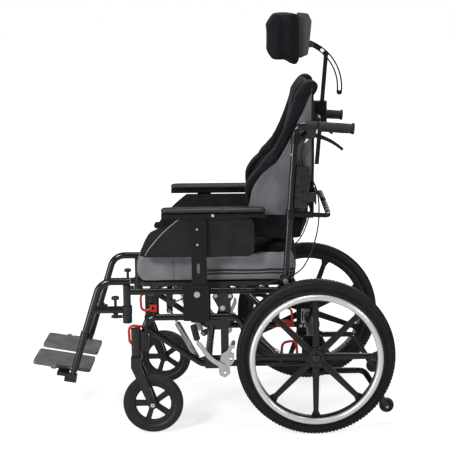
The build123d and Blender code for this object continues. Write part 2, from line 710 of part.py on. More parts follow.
def seat_cushion():
    """Seat cushion: rounded nose, crowned top that rises at the back, drawn-in sides."""
    floor = pan_bottom + pan_thickness + soft_gap

    def section(y, inset, lift):
        nose, tail = -592 + inset, -66 - inset
        top = cushion_top - 8 + lift - inset * 0.4
        ring = Curve()
        ring += Line((nose + 24, floor + inset * 0.3), (tail, floor + inset * 0.3))
        ring += ThreePointArc((tail, floor + inset * 0.3), (tail + 5, floor + 64), (tail - 12, top + 36))
        ring += Line((tail - 12, top + 36), (tail - 40, top + 34))
        ring += ThreePointArc((tail - 40, top + 34), (-250, top + 4), (-420, top + 2))
        ring += ThreePointArc((-420, top + 2), (nose + 60, top + 6), (nose + 14, top - 12))
        ring += ThreePointArc((nose + 14, top - 12), (nose, floor + 48), (nose + 24, floor + inset * 0.3))
        return Pos(0, y, 0) * (Plane.XZ * make_face(ring))

    places = [(-cushion_half, 9, 0), (-cushion_half + 14, 1, 3), (-70, 0, 8), (70, 0, 8),
              (cushion_half - 14, 1, 3), (cushion_half, 9, 0)]
    return loft([section(*place) for place in places], ruled=True)


def front_seat_tube():
    """Cross tube with the ears for the strut heads and a clip for each release cable."""
    half = seat_y - 4
    body = rod_y(strut_head_x, seat_rail_z, 10, -half, half)
    lug = outline([(strut_head_x - 12, seat_rail_z), (strut_head_x - 9, strut_head_z - 8),
                   (strut_head_x + 9, strut_head_z - 8), (strut_head_x + 12, seat_rail_z)], 2)
    lug -= Pos(strut_head_x, strut_head_z) * Circle(strut_pin_radius + 0.02)
    for side in (-1, 1):
        for gap in (-strut_head_half - strut_ear - 1.5, strut_head_half + 1.5):
            body += slab(lug, side * strut_y + gap, side * strut_y + gap + strut_ear)
    clip_y = strut_y + strut_head_half + strut_ear + 1
    clip = block(strut_head_x + 2, strut_head_x + 22, clip_y, clip_y + 9, 421, 435)
    return body + clip + flipped(clip)


def build_seat():
    """Frame, pan, cushion, arm sockets and their fasteners."""
    side = seat_frame()
    rear_tube = rod_y(rear_seat_tube_x, seat_rail_z, 10, -seat_y + 4, seat_y - 4)
    NODES["seat_frame"] = side + flipped(side) + front_seat_tube() + rear_tube
    pan = block(pan_front, pan_rear, -pan_half, pan_half, pan_bottom, pan_bottom + pan_thickness)
    NODES["seat_pan"] = fillet(pan.edges().filter_by(Axis.Z), 18)
    NODES["seat_cushion"] = seat_cushion()
    NODES["arm_receivers"] = both_sides(arm_receiver())
    pin = rod_y(strut_head_x, strut_head_z, strut_pin_radius, strut_y - 12, strut_y + 12)
    pin += rod_y(strut_head_x, strut_head_z, 7, strut_y + 10.5, strut_y + 13.5)
    socket_out = arm_post_y + arm_post_thickness / 2 + 4
    bolt = rod_y(arm_post_x - 8.5, 472, 5, arm_post_y + arm_post_thickness / 2 + 0.3, socket_out)
    bolt += rod_y(arm_post_x - 8.5, 472, 10, socket_out, socket_out + 5)
    ear_out = cane_y + tube_radius + 7
    hinge = rod_y(hinge_x, hinge_z, hinge_bolt_radius, cane_y - tube_radius - 7, ear_out)
    hinge += rod_y(hinge_x, hinge_z, 9, ear_out, ear_out + 5)
    face = base_y - 3
    heads = [rod_y(x, z, 6.5, face, face + 4) for x, z in ((-329, 456), (-281, 455))]
    NODES["seat_bolts"] = both_sides(group(pin, bolt, hinge, *heads))


# ---------------------------------------------------------------- armrests
def guard_outline():
    """Side guard: straight top and bottom, a long arc down the front, rounded rear."""
    return make_face(
        Curve()
        + Line((-560, 594), (-222, 594))
        + ThreePointArc((-222, 594), (-205, 602), (-199, 621))
        + Line((-199, 621), (-199, 698))
        + ThreePointArc((-199, 698), (-205, 714), (-222, 720))
        + Line((-222, 720), (-444, 720))
        + ThreePointArc((-444, 720), (-500, 672), (-548, 616))
        + ThreePointArc((-548, 616), (-566, 604), (-560, 594)))


def build_armrests():
    """Post with its rail, pad, side guard and rivets, raised and lowered as one."""
    x, half = arm_post_x, arm_post_width / 2
    y0, y1 = arm_post_y - arm_post_thickness / 2, arm_post_y + arm_post_thickness / 2
    post = block(x - half, x + half, y0, y1, arm_post_bottom, arm_rail_z)
    slot = Pos(x - 3, 557) * Rot(0, 0, 90) * SlotOverall(36, 9)
    post -= slab(slot, y0 - 1, y1 + 1)
    rail = block(arm_front_x + 2, arm_rear_x, arm_pad_y - 12, y1 + 2, arm_rail_z,
                 arm_rail_z + arm_rail_height)
    rail = fillet(rail.edges().filter_by(Axis.X), 4)
    top = arm_rail_z + arm_rail_height
    pad = block(arm_front_x, arm_rear_x, arm_pad_y - arm_pad_width / 2, arm_pad_y + arm_pad_width / 2,
                top + soft_gap, top + arm_pad_height)
    pad = fillet(pad.edges().filter_by(Axis.Z), 16)
    pair("armrest_pad", fillet(pad.faces().sort_by(Axis.Z)[-1].edges(), 5))
    guard_y = y0 - 0.3
    guard = slab(guard_outline(), guard_y - guard_thickness, guard_y)
    rivets = [rod_y(x - 5, z, 4, guard_y - guard_thickness / 2, y1 + 1.5) for z in (637, 688)]
    for rivet in rivets:
        guard -= rivet
        post -= rivet
    pair("armrest_post", group(post + rail, *rivets))
    pair("side_guard", guard)


# ---------------------------------------------------------------- hangers and footplates
def hanger_point(z):
    """X of the hanger tube's axis on its sloping run at a height."""
    share = (hanger_top_z - z) / (hanger_top_z - hanger_foot_z)
    return hanger_elbow_x + share * (hanger_foot_x - hanger_elbow_x)


def build_hangers():
    """Swing-away hanger, its release knob and latch lever, the leg-length tube and the footplate."""
    y = seat_y
    foot = (hanger_foot_x, y, hanger_foot_z)
    end = (hanger_point(hanger_end_z), y, hanger_end_z)
    arm = bent([(hanger_post_x + 12, y, hanger_top_z), (hanger_elbow_x, y, hanger_top_z), end],
               hanger_tube_radius, 52)
    arm += rod((hanger_point(hanger_bracket_z), y, hanger_bracket_z),
               (hanger_post_x - hanger_post_radius - 1, y, hanger_bracket_z), hanger_tube_radius)
    ring_r = hanger_post_radius + 4
    arm += rod_z(hanger_post_x, y, ring_r, hanger_bracket_z - 13, hanger_bracket_z + 13)
    arm -= rod_z(hanger_post_x, y, hanger_post_radius + fit, hanger_bracket_z - 20, hanger_bracket_z + 20)
    arm += rod_z(hanger_post_x, y, 6, hanger_post_top - 26, hanger_top_z)
    arm -= rod_z(knob_x, y, 5 + fit, hanger_bracket_z - 9, hanger_bracket_z + 20)
    slope = (Vector(*foot) - Vector(*end)).normalized()
    bore_top = Vector(*end) - slope * 130
    arm -= rod(tuple(bore_top), end, extension_radius + fit)
    knob = rod_z(knob_x, y, 5, hanger_bracket_z - 8, hanger_bracket_z + 36)
    head = rod_z(knob_x, y, 13, hanger_bracket_z + 36, hanger_bracket_z + 46)
    pair("release_knob", knob + fillet(head.edges().group_by(Axis.Z)[-1], 4))

    catch_top = hanger_bracket_z - hanger_tube_radius - 0.1
    catch = rod_z(knob_x, y, 8, catch_top - 16, catch_top)
    catch += block(knob_x, hanger_post_x - hanger_post_radius - 4, y - 5, y + 5, catch_top - 16,
                   catch_top - 7)
    catch += block(knob_x - 14, knob_x, y - 9, y + 9, catch_top - 14, catch_top - 8)

    collar = Plane(origin=(hanger_point(318.0), y, 318.0), z_dir=slope) * Cylinder(hanger_tube_radius + 3, 22)
    collar -= rod((hanger_elbow_x, y, hanger_top_z), foot, hanger_tube_radius + 0.02)
    back_of_tube = hanger_point(312.0) + hanger_tube_radius + 2.4
    collar += rod((back_of_tube, y, 314.0), (back_of_tube + 15, y, 309.0), 9)
    pair("hanger", group(arm, catch, collar))

    inner_top = Vector(*end) - slope * 118
    extension = rod(tuple(inner_top), foot, extension_radius)
    pair("footrest_extension", extension + footplate_place() * footplate_bracket())
    pair("footplate", footplate_place() * footplate_board())


def footplate_place():
    """The footplate's own frame: from heel to toe, then inboard, then up."""
    rise = tan(radians(footplate_toe_up))
    return Plane(origin=(footplate_heel_x, 0, footplate_heel_z), x_dir=(-1, 0, rise), z_dir=(rise, 0, 1))


def footplate_bracket():
    """Casting on the foot of the tube, with the bar that the plate folds up about."""
    low, high = -40.0, -footplate_thickness - 1.5
    saddle = Pos(58, -seat_y, (low + high) / 2) * Box(40, 22, high - low)
    middle_y = (seat_y + footplate_hinge_y) / 2 - 3
    arm = Pos(87, -middle_y, high - 6) * Box(38, seat_y - footplate_hinge_y + 12, 12)
    lug = Pos(90, -footplate_hinge_y, -footplate_thickness / 2 - 5) * Box(30, 9, 18)
    bar = Rot(0, 90, 0) * Cylinder(footplate_pin_radius, 84)
    bar = Pos(90, -footplate_hinge_y, -footplate_thickness / 2) * bar
    return saddle + arm + lug + bar


def footplate_board():
    """Ribbed plate with rounded corners and two hinge knuckles."""
    mid, edge = footplate_length / 2, footplate_hinge_y - 9
    width = edge - footplate_inner_y
    centre = -(footplate_inner_y + width / 2)
    board = Pos(mid, centre, -footplate_thickness / 2) * Box(footplate_length, width, footplate_thickness)
    board = fillet(board.edges().filter_by(Axis.Z), 12)
    pocket = Pos(mid, centre, -footplate_thickness) * Box(footplate_length - 12, width - 12, 14)
    board -= fillet(pocket.edges().filter_by(Axis.Z), 8)
    for offset in (-60, -30, 0, 30, 60):
        board += Pos(mid + offset, centre, -footplate_thickness / 2 - 1) * Box(3, width - 8, 9)
    for offset in (57, 123):
        knuckle = Pos(offset, -footplate_hinge_y, -footplate_thickness / 2) * Rot(0, 90, 0) * Cylinder(8, 16)
        web = Pos(offset, -(edge + footplate_hinge_y) / 2 + 2, -footplate_thickness / 2)
        board += knuckle + web * Box(16, footplate_hinge_y - edge + 8, 9)
    bore = Pos(mid, -footplate_hinge_y, -footplate_thickness / 2) * Rot(0, 90, 0)
    return board - bore * Cylinder(footplate_pin_radius + fit, footplate_length)


# ---------------------------------------------------------------- back
def back_cane():
    """Cane that bends back into the push handle."""
    y = cane_y
    drop = (handle_end_x - cane_x(cane_top_z)) * tan(radians(handle_droop))
    way = [(cane_x(cane_foot_z), y, cane_foot_z), (cane_x(cane_top_z), y, cane_top_z),
           (handle_end_x, y, cane_top_z - drop)]
    outer, bore = tube(way, tube_radius, cane_bend, plug=2.0)
    cane = outer - bore
    cane += rod_y(hinge_x, hinge_z, 8.5, y - tube_radius + 0.6, y + tube_radius - 0.6)
    return cane - rod_y(hinge_x, hinge_z, hinge_bolt_radius + fit, y - 20, y + 20)


def build_back():
    """Canes, handles, cross bars, shell, cushion and bolsters."""
    y = cane_y
    NODES["back_canes"] = both_sides(back_cane())
    slope = tan(radians(handle_droop))

    def handle_z(x):
        return cane_top_z - (x - cane_x(cane_top_z)) * slope

    start = handle_end_x + 3 - grip_length
    grip = rod((start, y, handle_z(start)), (handle_end_x + 3, y, handle_z(handle_end_x + 3)), grip_radius)
    grip += rod((handle_end_x - 5, y, handle_z(handle_end_x - 5)),
                (handle_end_x + 3, y, handle_z(handle_end_x + 3)), grip_radius + 3.5)
    grip = fillet(grip.edges().group_by(Axis.X)[-1], 2.5)
    grip -= rod((start - 1, y, handle_z(start - 1)), (handle_end_x, y, handle_z(handle_end_x)),
                tube_radius + 0.02)
    clamp_ring = rod((-28, y, handle_z(-28)), (7, y, handle_z(7)), tube_radius + 4)
    body = slab(outline([(-26, 1016), (-27, 980), (2, 980), (6, 1014)], 3), y - 12, y + 12)
    body -= block(-16, 10, y - 4.3, y + 4.3, 970, 1003.5)
    body += rod_y(-8, 990, 3, y - 12, y + 12)
    bracket = clamp_ring + body - rod((-50, y, handle_z(-50)), (20, y, handle_z(20)), tube_radius + 0.02)
    NODES["push_grips"] = both_sides(group(grip, bracket))

    blade = make_face(
        Curve()
        + ThreePointArc((-10, 983), (-15.5, 991), (-8, 997))
        + ThreePointArc((-8, 997), (46, 978), (90, 947))
        + ThreePointArc((90, 947), (91, 939.5), (84, 940))
        + ThreePointArc((84, 940), (40, 968), (-10, 983)))
    blade -= Pos(-8, 990) * Circle(3 + fit)
    pair("release_lever", slab(blade, y - 4, y + 4))

    bar_x = cane_x(rear_bar_z)
    side = [(bar_x + 6, y, rear_bar_z), (rear_bar_x, y, rear_bar_z - 6), (rear_bar_x, -y, rear_bar_z - 6),
            (bar_x + 6, -y, rear_bar_z)]
    bar = bent(side, rear_bar_radius, [16, 16])
    for sign in (-1, 1):
        collar = rod((cane_x(rear_bar_z - 15), sign * y, rear_bar_z - 15),
                     (cane_x(rear_bar_z + 15), sign * y, rear_bar_z + 15), tube_radius + 4)
        sleeve = rod((bar_x + 12, sign * y, rear_bar_z - 0.5), (bar_x + 76, sign * y, rear_bar_z - 3.6), 10.5)
        cane = rod((cane_x(rear_bar_z - 60), sign * y, rear_bar_z - 60),
                   (cane_x(rear_bar_z + 60), sign * y, rear_bar_z + 60), tube_radius + 0.02)
        bar += collar + sleeve
        bar -= cane

    low = upper_bar_low
    upper = bent(upper_bar_way(), upper_bar_radius, [upper_bar_bend, upper_bar_bend])
    for sign in (-1, 1):
        upper += rod((cane_x(low - 14), sign * y, low - 14), (cane_x(low + 14), sign * y, low + 14),
                     tube_radius + 4)
        upper -= rod((cane_x(low - 60), sign * y, low - 60), (cane_x(low + 60), sign * y, low + 60),
                     tube_radius + 0.02)
    NODES["back_cross_bars"] = group(bar, upper, headrest_clamp())

    lean = Pos(hinge_x, 0, hinge_z) * Rot(0, cane_lean, 0)
    mount = lean * block(tube_radius, tube_radius + 42, y - 11, y + 10, 245, 381)
    tongue = block(back_rear_x + 4.5, back_rear_x + 9, 150, y + 9, 762, 806)
    link = block(-40, back_rear_x + 9, y - 9, y + 9, 770, 800)
    mounts = mount + tongue + link
    shell = slab(outline([(back_rear_x + 0.4, 700), (back_rear_x + 4.4, 700), (back_rear_x + 4.4, 1130),
                          (back_rear_x + 0.4, 1130)]), -168, 168)
    shell = fillet(shell.edges().filter_by(Axis.X), 40)
    for sign in (-1, 1):
        shell += block(back_rear_x + 4.4, upper_bar_x - upper_bar_radius, sign * 110 - 14, sign * 110 + 14,
                       upper_bar_z - 12, upper_bar_z + 12)
    NODES["back_shell"] = group(shell, mounts, flipped(mounts))
    build_back_cushions()


def upper_bar_way():
    """The bar that runs from cane to cane behind the cushion, rising to the headrest clamp."""
    start = cane_x(upper_bar_low) + 6
    return [(start, cane_y - 6, upper_bar_low), (upper_bar_x, 176, upper_bar_z),
            (upper_bar_x, -176, upper_bar_z), (start, -cane_y + 6, upper_bar_low)]


def back_face(inset=0.0):
    """The grey back cushion seen from the side."""
    rear, low = back_rear_x - inset, back_bottom + inset
    return make_face(
        Curve()
        + Line((rear - 24, low), (-150 + inset, low))
        + ThreePointArc((-150 + inset, low), (-126 + inset, 760), (-112 + inset, 860))
        + Line((-112 + inset, 860), (-70 + inset, 1060))
        + ThreePointArc((-70 + inset, 1060), (-60 + inset, 1120), (-32, 1160 - inset))
        + Line((-32, 1160 - inset), (rear, 1148 - inset))
        + Line((rear, 1148 - inset), (rear, 850))
        + Line((rear, 850), (rear - 24, low)))


def bolster_face():
    """The black side wing seen from the side: deep at the hips, slim at the shoulder."""
    low = (-220.0, 747.0)
    return make_face(
        Curve()
        + ThreePointArc(low, (-232, 828), (-212, 897))
        + ThreePointArc((-212, 897), (-178, 930), (-140, 976))
        + ThreePointArc((-140, 976), (-104, 1046), (-86, 1100))
        + ThreePointArc((-86, 1100), (-68, 1160), (-26, 1190))
        + ThreePointArc((-26, 1190), (-7, 1176), (back_rear_x, 1150))
        + Line((back_rear_x, 1150), (-24, 1092))
        + Line((-24, 1092), (-61, 1017))
        + ThreePointArc((-61, 1017), (-92, 952), (-128, 895))
        + ThreePointArc((-128, 895), (-196, 824), low))


def build_back_cushions():
    """Grey core with side panels, and the black bolsters in front of it."""
    side = make_face(
        Curve()
        + Line((-44, back_bottom), (-212, back_bottom))
        + Line((-212, back_bottom), (-219, 747))
        + ThreePointArc((-219, 747), (-195.5, 824), (-127.5, 895.5))
        + ThreePointArc((-127.5, 895.5), (-91.5, 952), (-60.5, 1017))
        + Line((-60.5, 1017), (-23.5, 1092))
        + Line((-23.5, 1092), (back_rear_x, 1149))
        + Line((back_rear_x, 1149), (back_rear_x, 850))
        + Line((back_rear_x, 850), (-44, back_bottom)))
    core = slab(back_face(), -bolster_inner + soft_gap, bolster_inner - soft_gap)
    panels = slab(side, bolster_inner - soft_gap, back_half)
    groove = bent(upper_bar_way(), upper_bar_radius + soft_gap, [upper_bar_bend, upper_bar_bend])
    NODES["back_cushion"] = core + panels + flipped(panels) - groove
    wing = slab(offset(bolster_face(), -0.3), bolster_inner, back_half)
    NODES["back_bolsters"] = both_sides(wing)


# ---------------------------------------------------------------- headrest
def head_arc():
    """Centre and radius of the curved headrest bar."""
    arc = ThreePointArc((head_pivot_x, head_pivot_z), (head_post_top_x, head_post_top_z),
                        (head_bar_tail_x, head_bar_tail_z))
    return arc.arc_center.X, arc.arc_center.Y, arc.radius


def arc_band(centre, radius, width, start, end):
    """A band along an arc with round ends, in (x, z); angles in degrees from +X."""
    band = Curve()
    spots = {}
    for name, r in (("out", radius + width / 2), ("in", radius - width / 2)):
        spots[name] = [(centre[0] + r * cos(radians(a)), centre[1] + r * sin(radians(a)))
                       for a in (start, (start + end) / 2, end)]
    out, inn = spots["out"], spots["in"]
    tips = [(centre[0] + radius * cos(radians(a)) + s * width / 2 * sin(radians(a)),
             centre[1] + radius * sin(radians(a)) - s * width / 2 * cos(radians(a)))
            for a, s in ((start, 1), (end, -1))]
    band += ThreePointArc(out[0], out[1], out[2])
    band += ThreePointArc(out[2], tips[1], inn[2])
    band += ThreePointArc(inn[2], inn[1], inn[0])
    band += ThreePointArc(inn[0], tips[0], out[0])
    return make_face(band)


def headrest_clamp():
    """Block on the upper bar that holds the headrest post, with its clamping knob."""
    clamp = block(upper_bar_x - 12, 54, -20, 20, 1008, 1080)
    clamp = fillet(clamp.edges().filter_by(Axis.Z), 5)
    clamp -= rod_y(upper_bar_x, upper_bar_z, upper_bar_radius + 0.02, -30, 30)
    lean = Pos(head_post_top_x, 0, head_post_top_z) * Rot(0, head_post_lean, 0)
    w, d = head_post_width / 2, head_post_depth / 2
    clamp -= lean * block(-w - fit, w + fit, -d - fit, d + fit, -head_post_length - 20, 0)
    return clamp + rod_y(40, 1046, 6, 20, 30) + rod_y(40, 1046, 12, 30, 40)


def build_headrest():
    """Post, curved slotted bar, shell and pad."""
    lean = Pos(head_post_top_x, 0, head_post_top_z) * Rot(0, head_post_lean, 0)
    w, d = head_post_width / 2, head_post_depth / 2
    post = lean * block(-w, w, -d, d, -head_post_length, -4)
    post += rod_y(head_post_top_x, head_post_top_z, 9, -d, d)
    post += rod_y(head_post_top_x, head_post_top_z, 4, d, d + 12)
    knob = rod_y(head_post_top_x, head_post_top_z, 10, d + head_bar_thickness + 0.6, d + 14)
    NODES["headrest_post"] = post + knob

    cx, cz, radius = head_arc()
    start = degrees(atan2(head_bar_tail_z - cz, head_bar_tail_x - cx))
    end = degrees(atan2(head_pivot_z - cz, head_pivot_x - cx))
    band = arc_band((cx, cz), radius, head_bar_width, start, end)
    slot = arc_band((cx, cz), radius, head_bar_slot, start + 3.5, end - 14)
    band -= slot
    band -= Pos(head_pivot_x, head_pivot_z) * Circle(head_pivot_radius + fit)
    y0 = d + 0.3
    NODES["headrest_bar"] = slab(band, y0, y0 + head_bar_thickness)

    half = head_pad_half
    y1 = y0 + head_bar_thickness
    pivot = Pos(head_pivot_x, 0, head_pivot_z)
    shell = slab(outline([(-49, 107), (-16, 103), (-4, 79), (-13, -11), (-17, -33), (-49, -47)], 6), -62, 62)
    shell -= block(-24, 36, y0 - 0.2, y1 + 0.2, -25, 27)
    ear = outline([(-24, 13), (2, 11), (9, 0), (2, -11), (-24, -13)], 3)
    shell += slab(ear, y0 - 4.6, y0 - 0.2) + slab(ear, y1 + 0.2, y1 + 4.6)
    shell += rod_y(0, 0, head_pivot_radius, y0 - 4, y1 + 4)
    NODES["headrest_shell"] = pivot * shell

    plan = make_face(
        Curve()
        + Line((-49.4, -70), (-49.4, 70))
        + ThreePointArc((-49.4, 70), (-62, half - 6), (-104, half))
        + ThreePointArc((-104, half), (-156, half - 8), (-154, half - 24))
        + ThreePointArc((-154, half - 24), (-108, 52), (-96, 0))
        + ThreePointArc((-96, 0), (-108, -52), (-154, -half + 24))
        + ThreePointArc((-154, -half + 24), (-156, -half + 8), (-104, -half))
        + ThreePointArc((-104, -half), (-62, -half + 6), (-49.4, -70)))
    block_pad = Pos(0, 0, -68) * extrude(plan, amount=178)
    side = outline([(-162, -11), (-162, 57), (-130, 109), (-49, 109), (-49, -67), (-66, -67), (-88, -49),
                    (-136, -47)], 12)
    NODES["headrest_pad"] = pivot * (block_pad & slab(side, -200, 200))


# ---------------------------------------------------------------- release cables
def corner_radii(points):
    """The largest arcs that each pair of runs leaves room for."""
    radii = []
    for before, here, after in zip(points, points[1:], points[2:]):
        a, b = Vector(*here) - Vector(*before), Vector(*after) - Vector(*here)
        half_turn = radians(a.get_angle(b)) / 2
        radii.append(0.45 * min(a.length, b.length) / tan(half_turn))
    return radii


def cable(points):
    """A cable along its route."""
    radii = corner_radii(points)
    solid = bent(points, cable_radius, radii)
    length = FilletPolyline(*points, radius=radii).length
    print("cable", round(length), "mm, tightest arc", round(min(radii)), "volume",
          round(solid.volume / (pi * cable_radius ** 2 * length), 3))
    return solid


def build_cables():
    """Tilt release cables: down the cane to the hinge, then along the seat rail to the strut."""
    y = hinge_cable_y
    upper = [(-21.5, 225, 978), (-34, 223, 962), (-43, 218, 936), (-44, 211, 904), (-30, 208, 868),
             (-2, 207, 834), (13, 206, 788), (16, 204, 732), (12, 199, 674), (-1, 195, 620),
             (-19, 195, 572), (-50, y - 1, 528), (hinge_x + 0.5, y, hinge_z)]
    lower = [(hinge_x - 0.5, y, hinge_z), (-134, y + 0.2, 503), (-168, 209.3, 487), (-212, 209.8, 471),
             (-268, 209.6, 467.6), (-328, 209.9, 466.7), (-380, 209.3, 466.0), (-408, 207.7, 458.5),
             (-430, 198, 447), (-446, 187, 436), (strut_head_x + 23.6, strut_y + 14.5, 428.5)]
    NODES["back_cables"] = both_sides(cable(upper))
    NODES["seat_cables"] = both_sides(cable(lower))


# ---------------------------------------------------------------- build and export
build_rear_wheels()
build_casters()
build_base()
build_wheel_locks()
build_anti_tippers()
build_struts()
build_seat()
build_armrests()
build_hangers()
build_back()
build_headrest()
build_cables()

boxes = [piece.bounding_box() for piece in NODES.values()]
middle_x = (min(box.min.X for box in boxes) + max(box.max.X for box in boxes)) / 2
os.makedirs("parts", exist_ok=True)
for name, piece in NODES.items():
    export_step(Pos(-middle_x, 0, 0) * piece, "parts/" + name + ".step")
print("pieces", len(NODES), "origin is", round(-middle_x, 3), "mm ahead of the rear axle")
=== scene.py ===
"""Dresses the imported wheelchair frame: fabric, foam, cables, trim, finishes, light and camera."""
from __future__ import annotations

import json
import logging
import math
from dataclasses import dataclass, field, replace
from enum import Enum
from typing import Callable, Sequence

import bmesh
import bpy
from mathutils import Matrix, Vector, noise

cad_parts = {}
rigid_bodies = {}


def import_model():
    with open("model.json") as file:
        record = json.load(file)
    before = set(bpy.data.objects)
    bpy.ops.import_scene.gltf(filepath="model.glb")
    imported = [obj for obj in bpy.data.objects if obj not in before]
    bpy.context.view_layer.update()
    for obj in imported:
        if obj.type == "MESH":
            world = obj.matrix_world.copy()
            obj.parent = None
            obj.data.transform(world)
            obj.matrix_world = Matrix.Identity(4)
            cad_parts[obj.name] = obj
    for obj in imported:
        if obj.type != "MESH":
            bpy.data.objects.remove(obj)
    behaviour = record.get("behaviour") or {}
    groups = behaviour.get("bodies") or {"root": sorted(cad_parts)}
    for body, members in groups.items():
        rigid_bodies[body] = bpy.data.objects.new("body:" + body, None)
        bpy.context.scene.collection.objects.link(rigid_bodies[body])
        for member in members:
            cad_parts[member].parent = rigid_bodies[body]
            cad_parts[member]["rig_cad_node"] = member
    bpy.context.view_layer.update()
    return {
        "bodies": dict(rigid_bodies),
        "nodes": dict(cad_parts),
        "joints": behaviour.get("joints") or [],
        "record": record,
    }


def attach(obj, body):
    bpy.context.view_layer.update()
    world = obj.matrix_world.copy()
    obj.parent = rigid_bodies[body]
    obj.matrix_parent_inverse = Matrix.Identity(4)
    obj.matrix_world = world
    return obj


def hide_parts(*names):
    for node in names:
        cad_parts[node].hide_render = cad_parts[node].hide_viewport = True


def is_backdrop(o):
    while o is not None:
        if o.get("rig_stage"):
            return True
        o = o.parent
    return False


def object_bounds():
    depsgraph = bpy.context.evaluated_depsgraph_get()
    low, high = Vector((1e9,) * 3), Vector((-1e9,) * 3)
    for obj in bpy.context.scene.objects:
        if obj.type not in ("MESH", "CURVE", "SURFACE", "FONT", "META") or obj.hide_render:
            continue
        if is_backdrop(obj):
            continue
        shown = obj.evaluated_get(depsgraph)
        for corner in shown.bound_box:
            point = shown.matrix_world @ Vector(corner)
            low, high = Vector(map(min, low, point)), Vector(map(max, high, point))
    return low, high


LOG = logging.getLogger("wheelchair")

AXLE_X = 342.061  # the rear axle's X in the shared frame, mm
HIP_Y = 200.0  # half the width of the cushions, mm
WHEEL_CENTRE = Vector((AXLE_X / 1000, 0.0, 0.2625))  # on the chair's middle plane, metres
WHEEL_Y = 0.28  # from the middle plane to a rear wheel's own, metres
HANDRIM_Y = 0.317  # from the middle plane to a handrim's, metres
GUARD_Y = 242.4  # from the middle plane to a side guard's outer face, mm
MOUNT_Y = 235.6  # from the middle plane to the face of the back shell's mounts, mm
BUMP_HEIGHT = 0.0006  # the height of a finish's relief, metres
WELD = 0.00002  # points of a solid nearer than this are one, metres
CLOTH_FRAMES = 20
SEAM_DEPTH = 0.0012  # how far a seam is drawn in, metres
SIDES = ((1, "right"), (-1, "left"))
WHITE = (1.0, 1.0, 1.0)

Point = Sequence[float]
Colour = tuple[float, float, float]
Socket = bpy.types.NodeSocket


def frame_x(x: float) -> float:
    """Turns millimetres behind the rear axle into the shared frame's X, in metres."""
    return (x + AXLE_X) / 1000


def at(x: float, y: float, z: float) -> Vector:
    """Turns chair millimetres, measured from the rear axle, into the shared frame.

    Args:
        x: Backwards from the rear axle.
        y: Towards the chair's right side.
        z: Up from the floor.

    Returns:
        The point in metres.
    """
    return Vector((frame_x(x), y / 1000, z / 1000))


def mirrored(point: Point, side: int) -> Vector:
    """Places a point of the right side, or its mirror image where side is -1."""
    return at(point[0], side * point[1], point[2])


def in_mm(co: Vector) -> tuple[float, float, float]:
    """How far a point is behind the rear axle, off the middle plane and above the floor, in mm."""
    return co.x * 1000 - AXLE_X, abs(co.y) * 1000, co.z * 1000


def ramp(value: float, start: float, length: float) -> float:
    """Rises from 0 to 1 as a value goes a length past its start."""
    return min(1.0, max(0.0, (value - start) / length))


class Relief(Enum):
    """The kinds of surface relief a finish can have."""

    SMOOTH = "smooth"
    GRAIN = "grain"
    WEAVE = "weave"
    MESH = "mesh"
    BRUSHED = "brushed"
    TREAD = "tread"


@dataclass(frozen=True)
class Finish:
    """One surface finish, as the numbers that its material is made from."""

    name: str
    slot: str
    colour: Colour
    roughness: float
    metallic: float = 0.0
    relief: Relief = Relief.GRAIN
    scale: float = 900.0
    depth: float = 0.15
    wear: float = 0.0
    worn: Colour = (0.25, 0.25, 0.25)
    dust: float = 0.0
    coat: float = 0.0
    sheen: float = 0.0
    specular: float = 0.5
    second: Colour | None = None


COAT = Finish("black_coat", "frame_black", (0.006, 0.0058, 0.0058), 0.2, scale=2600, depth=0.04, wear=0.3,
              worn=(0.05, 0.05, 0.052), dust=0.1, coat=0.5, specular=0.4)
MATTE_COAT = Finish("bracket_black", "frame_black", (0.0078, 0.0068, 0.0064), 0.32, scale=1700, depth=0.12,
                    wear=0.45, worn=(0.07, 0.07, 0.07), dust=0.2, specular=0.35)
RUBBER = Finish("tyre_rubber", "tyre_rubber", (0.0095, 0.0095, 0.01), 0.5, relief=Relief.TREAD, depth=0.3,
                wear=0.2, worn=(0.04, 0.04, 0.04), dust=0.3, specular=0.3)
SOLID_TYRE = Finish("caster_tyre", "tyre_rubber", (0.014, 0.014, 0.0145), 0.55, scale=1200, depth=0.2,
                    wear=0.2, worn=(0.06, 0.06, 0.06), dust=0.5, specular=0.4)
NYLON = Finish("wheel_nylon", "wheel_plastic", (0.0085, 0.0085, 0.009), 0.34, scale=2200, depth=0.1, wear=0.4,
               worn=(0.06, 0.06, 0.062), dust=0.2)
ALUMINIUM = Finish("handrim_aluminium", "aluminium", (0.82, 0.825, 0.835), 0.3, metallic=0.5,
                   relief=Relief.SMOOTH, scale=5200, depth=0.01)
ZINC = Finish("zinc_plate", "bright_steel", (0.66, 0.66, 0.67), 0.27, metallic=0.85, relief=Relief.BRUSHED,
              scale=1400, depth=0.06, wear=0.3, worn=(0.36, 0.36, 0.37), dust=0.1)
CHROME = Finish("chromed_rod", "bright_steel", (0.8, 0.8, 0.81), 0.1, metallic=1.0, relief=Relief.SMOOTH,
                wear=0.1, worn=(0.5, 0.5, 0.5))
STRUT = Finish("strut_black", "strut_black", (0.01, 0.01, 0.01), 0.24, relief=Relief.BRUSHED, scale=800,
               depth=0.04, wear=0.2, worn=(0.1, 0.1, 0.1), coat=0.3)
RED = Finish("tie_down_red", "tie_down_red", (0.66, 0.03, 0.018), 0.34, scale=1500, depth=0.08, wear=0.35,
             worn=(0.33, 0.03, 0.02), dust=0.1, coat=0.2)
PAD_SKIN = Finish("armrest_skin", "pad_black", (0.014, 0.0145, 0.016), 0.5, scale=650, depth=0.35, dust=0.25,
                  wear=0.2, worn=(0.05, 0.05, 0.052))
GUARD = Finish("guard_plastic", "guard_plastic", (0.0135, 0.012, 0.0114), 0.46, scale=1500, depth=0.25,
               wear=0.5, worn=(0.06, 0.056, 0.053), dust=0.2, specular=0.3)
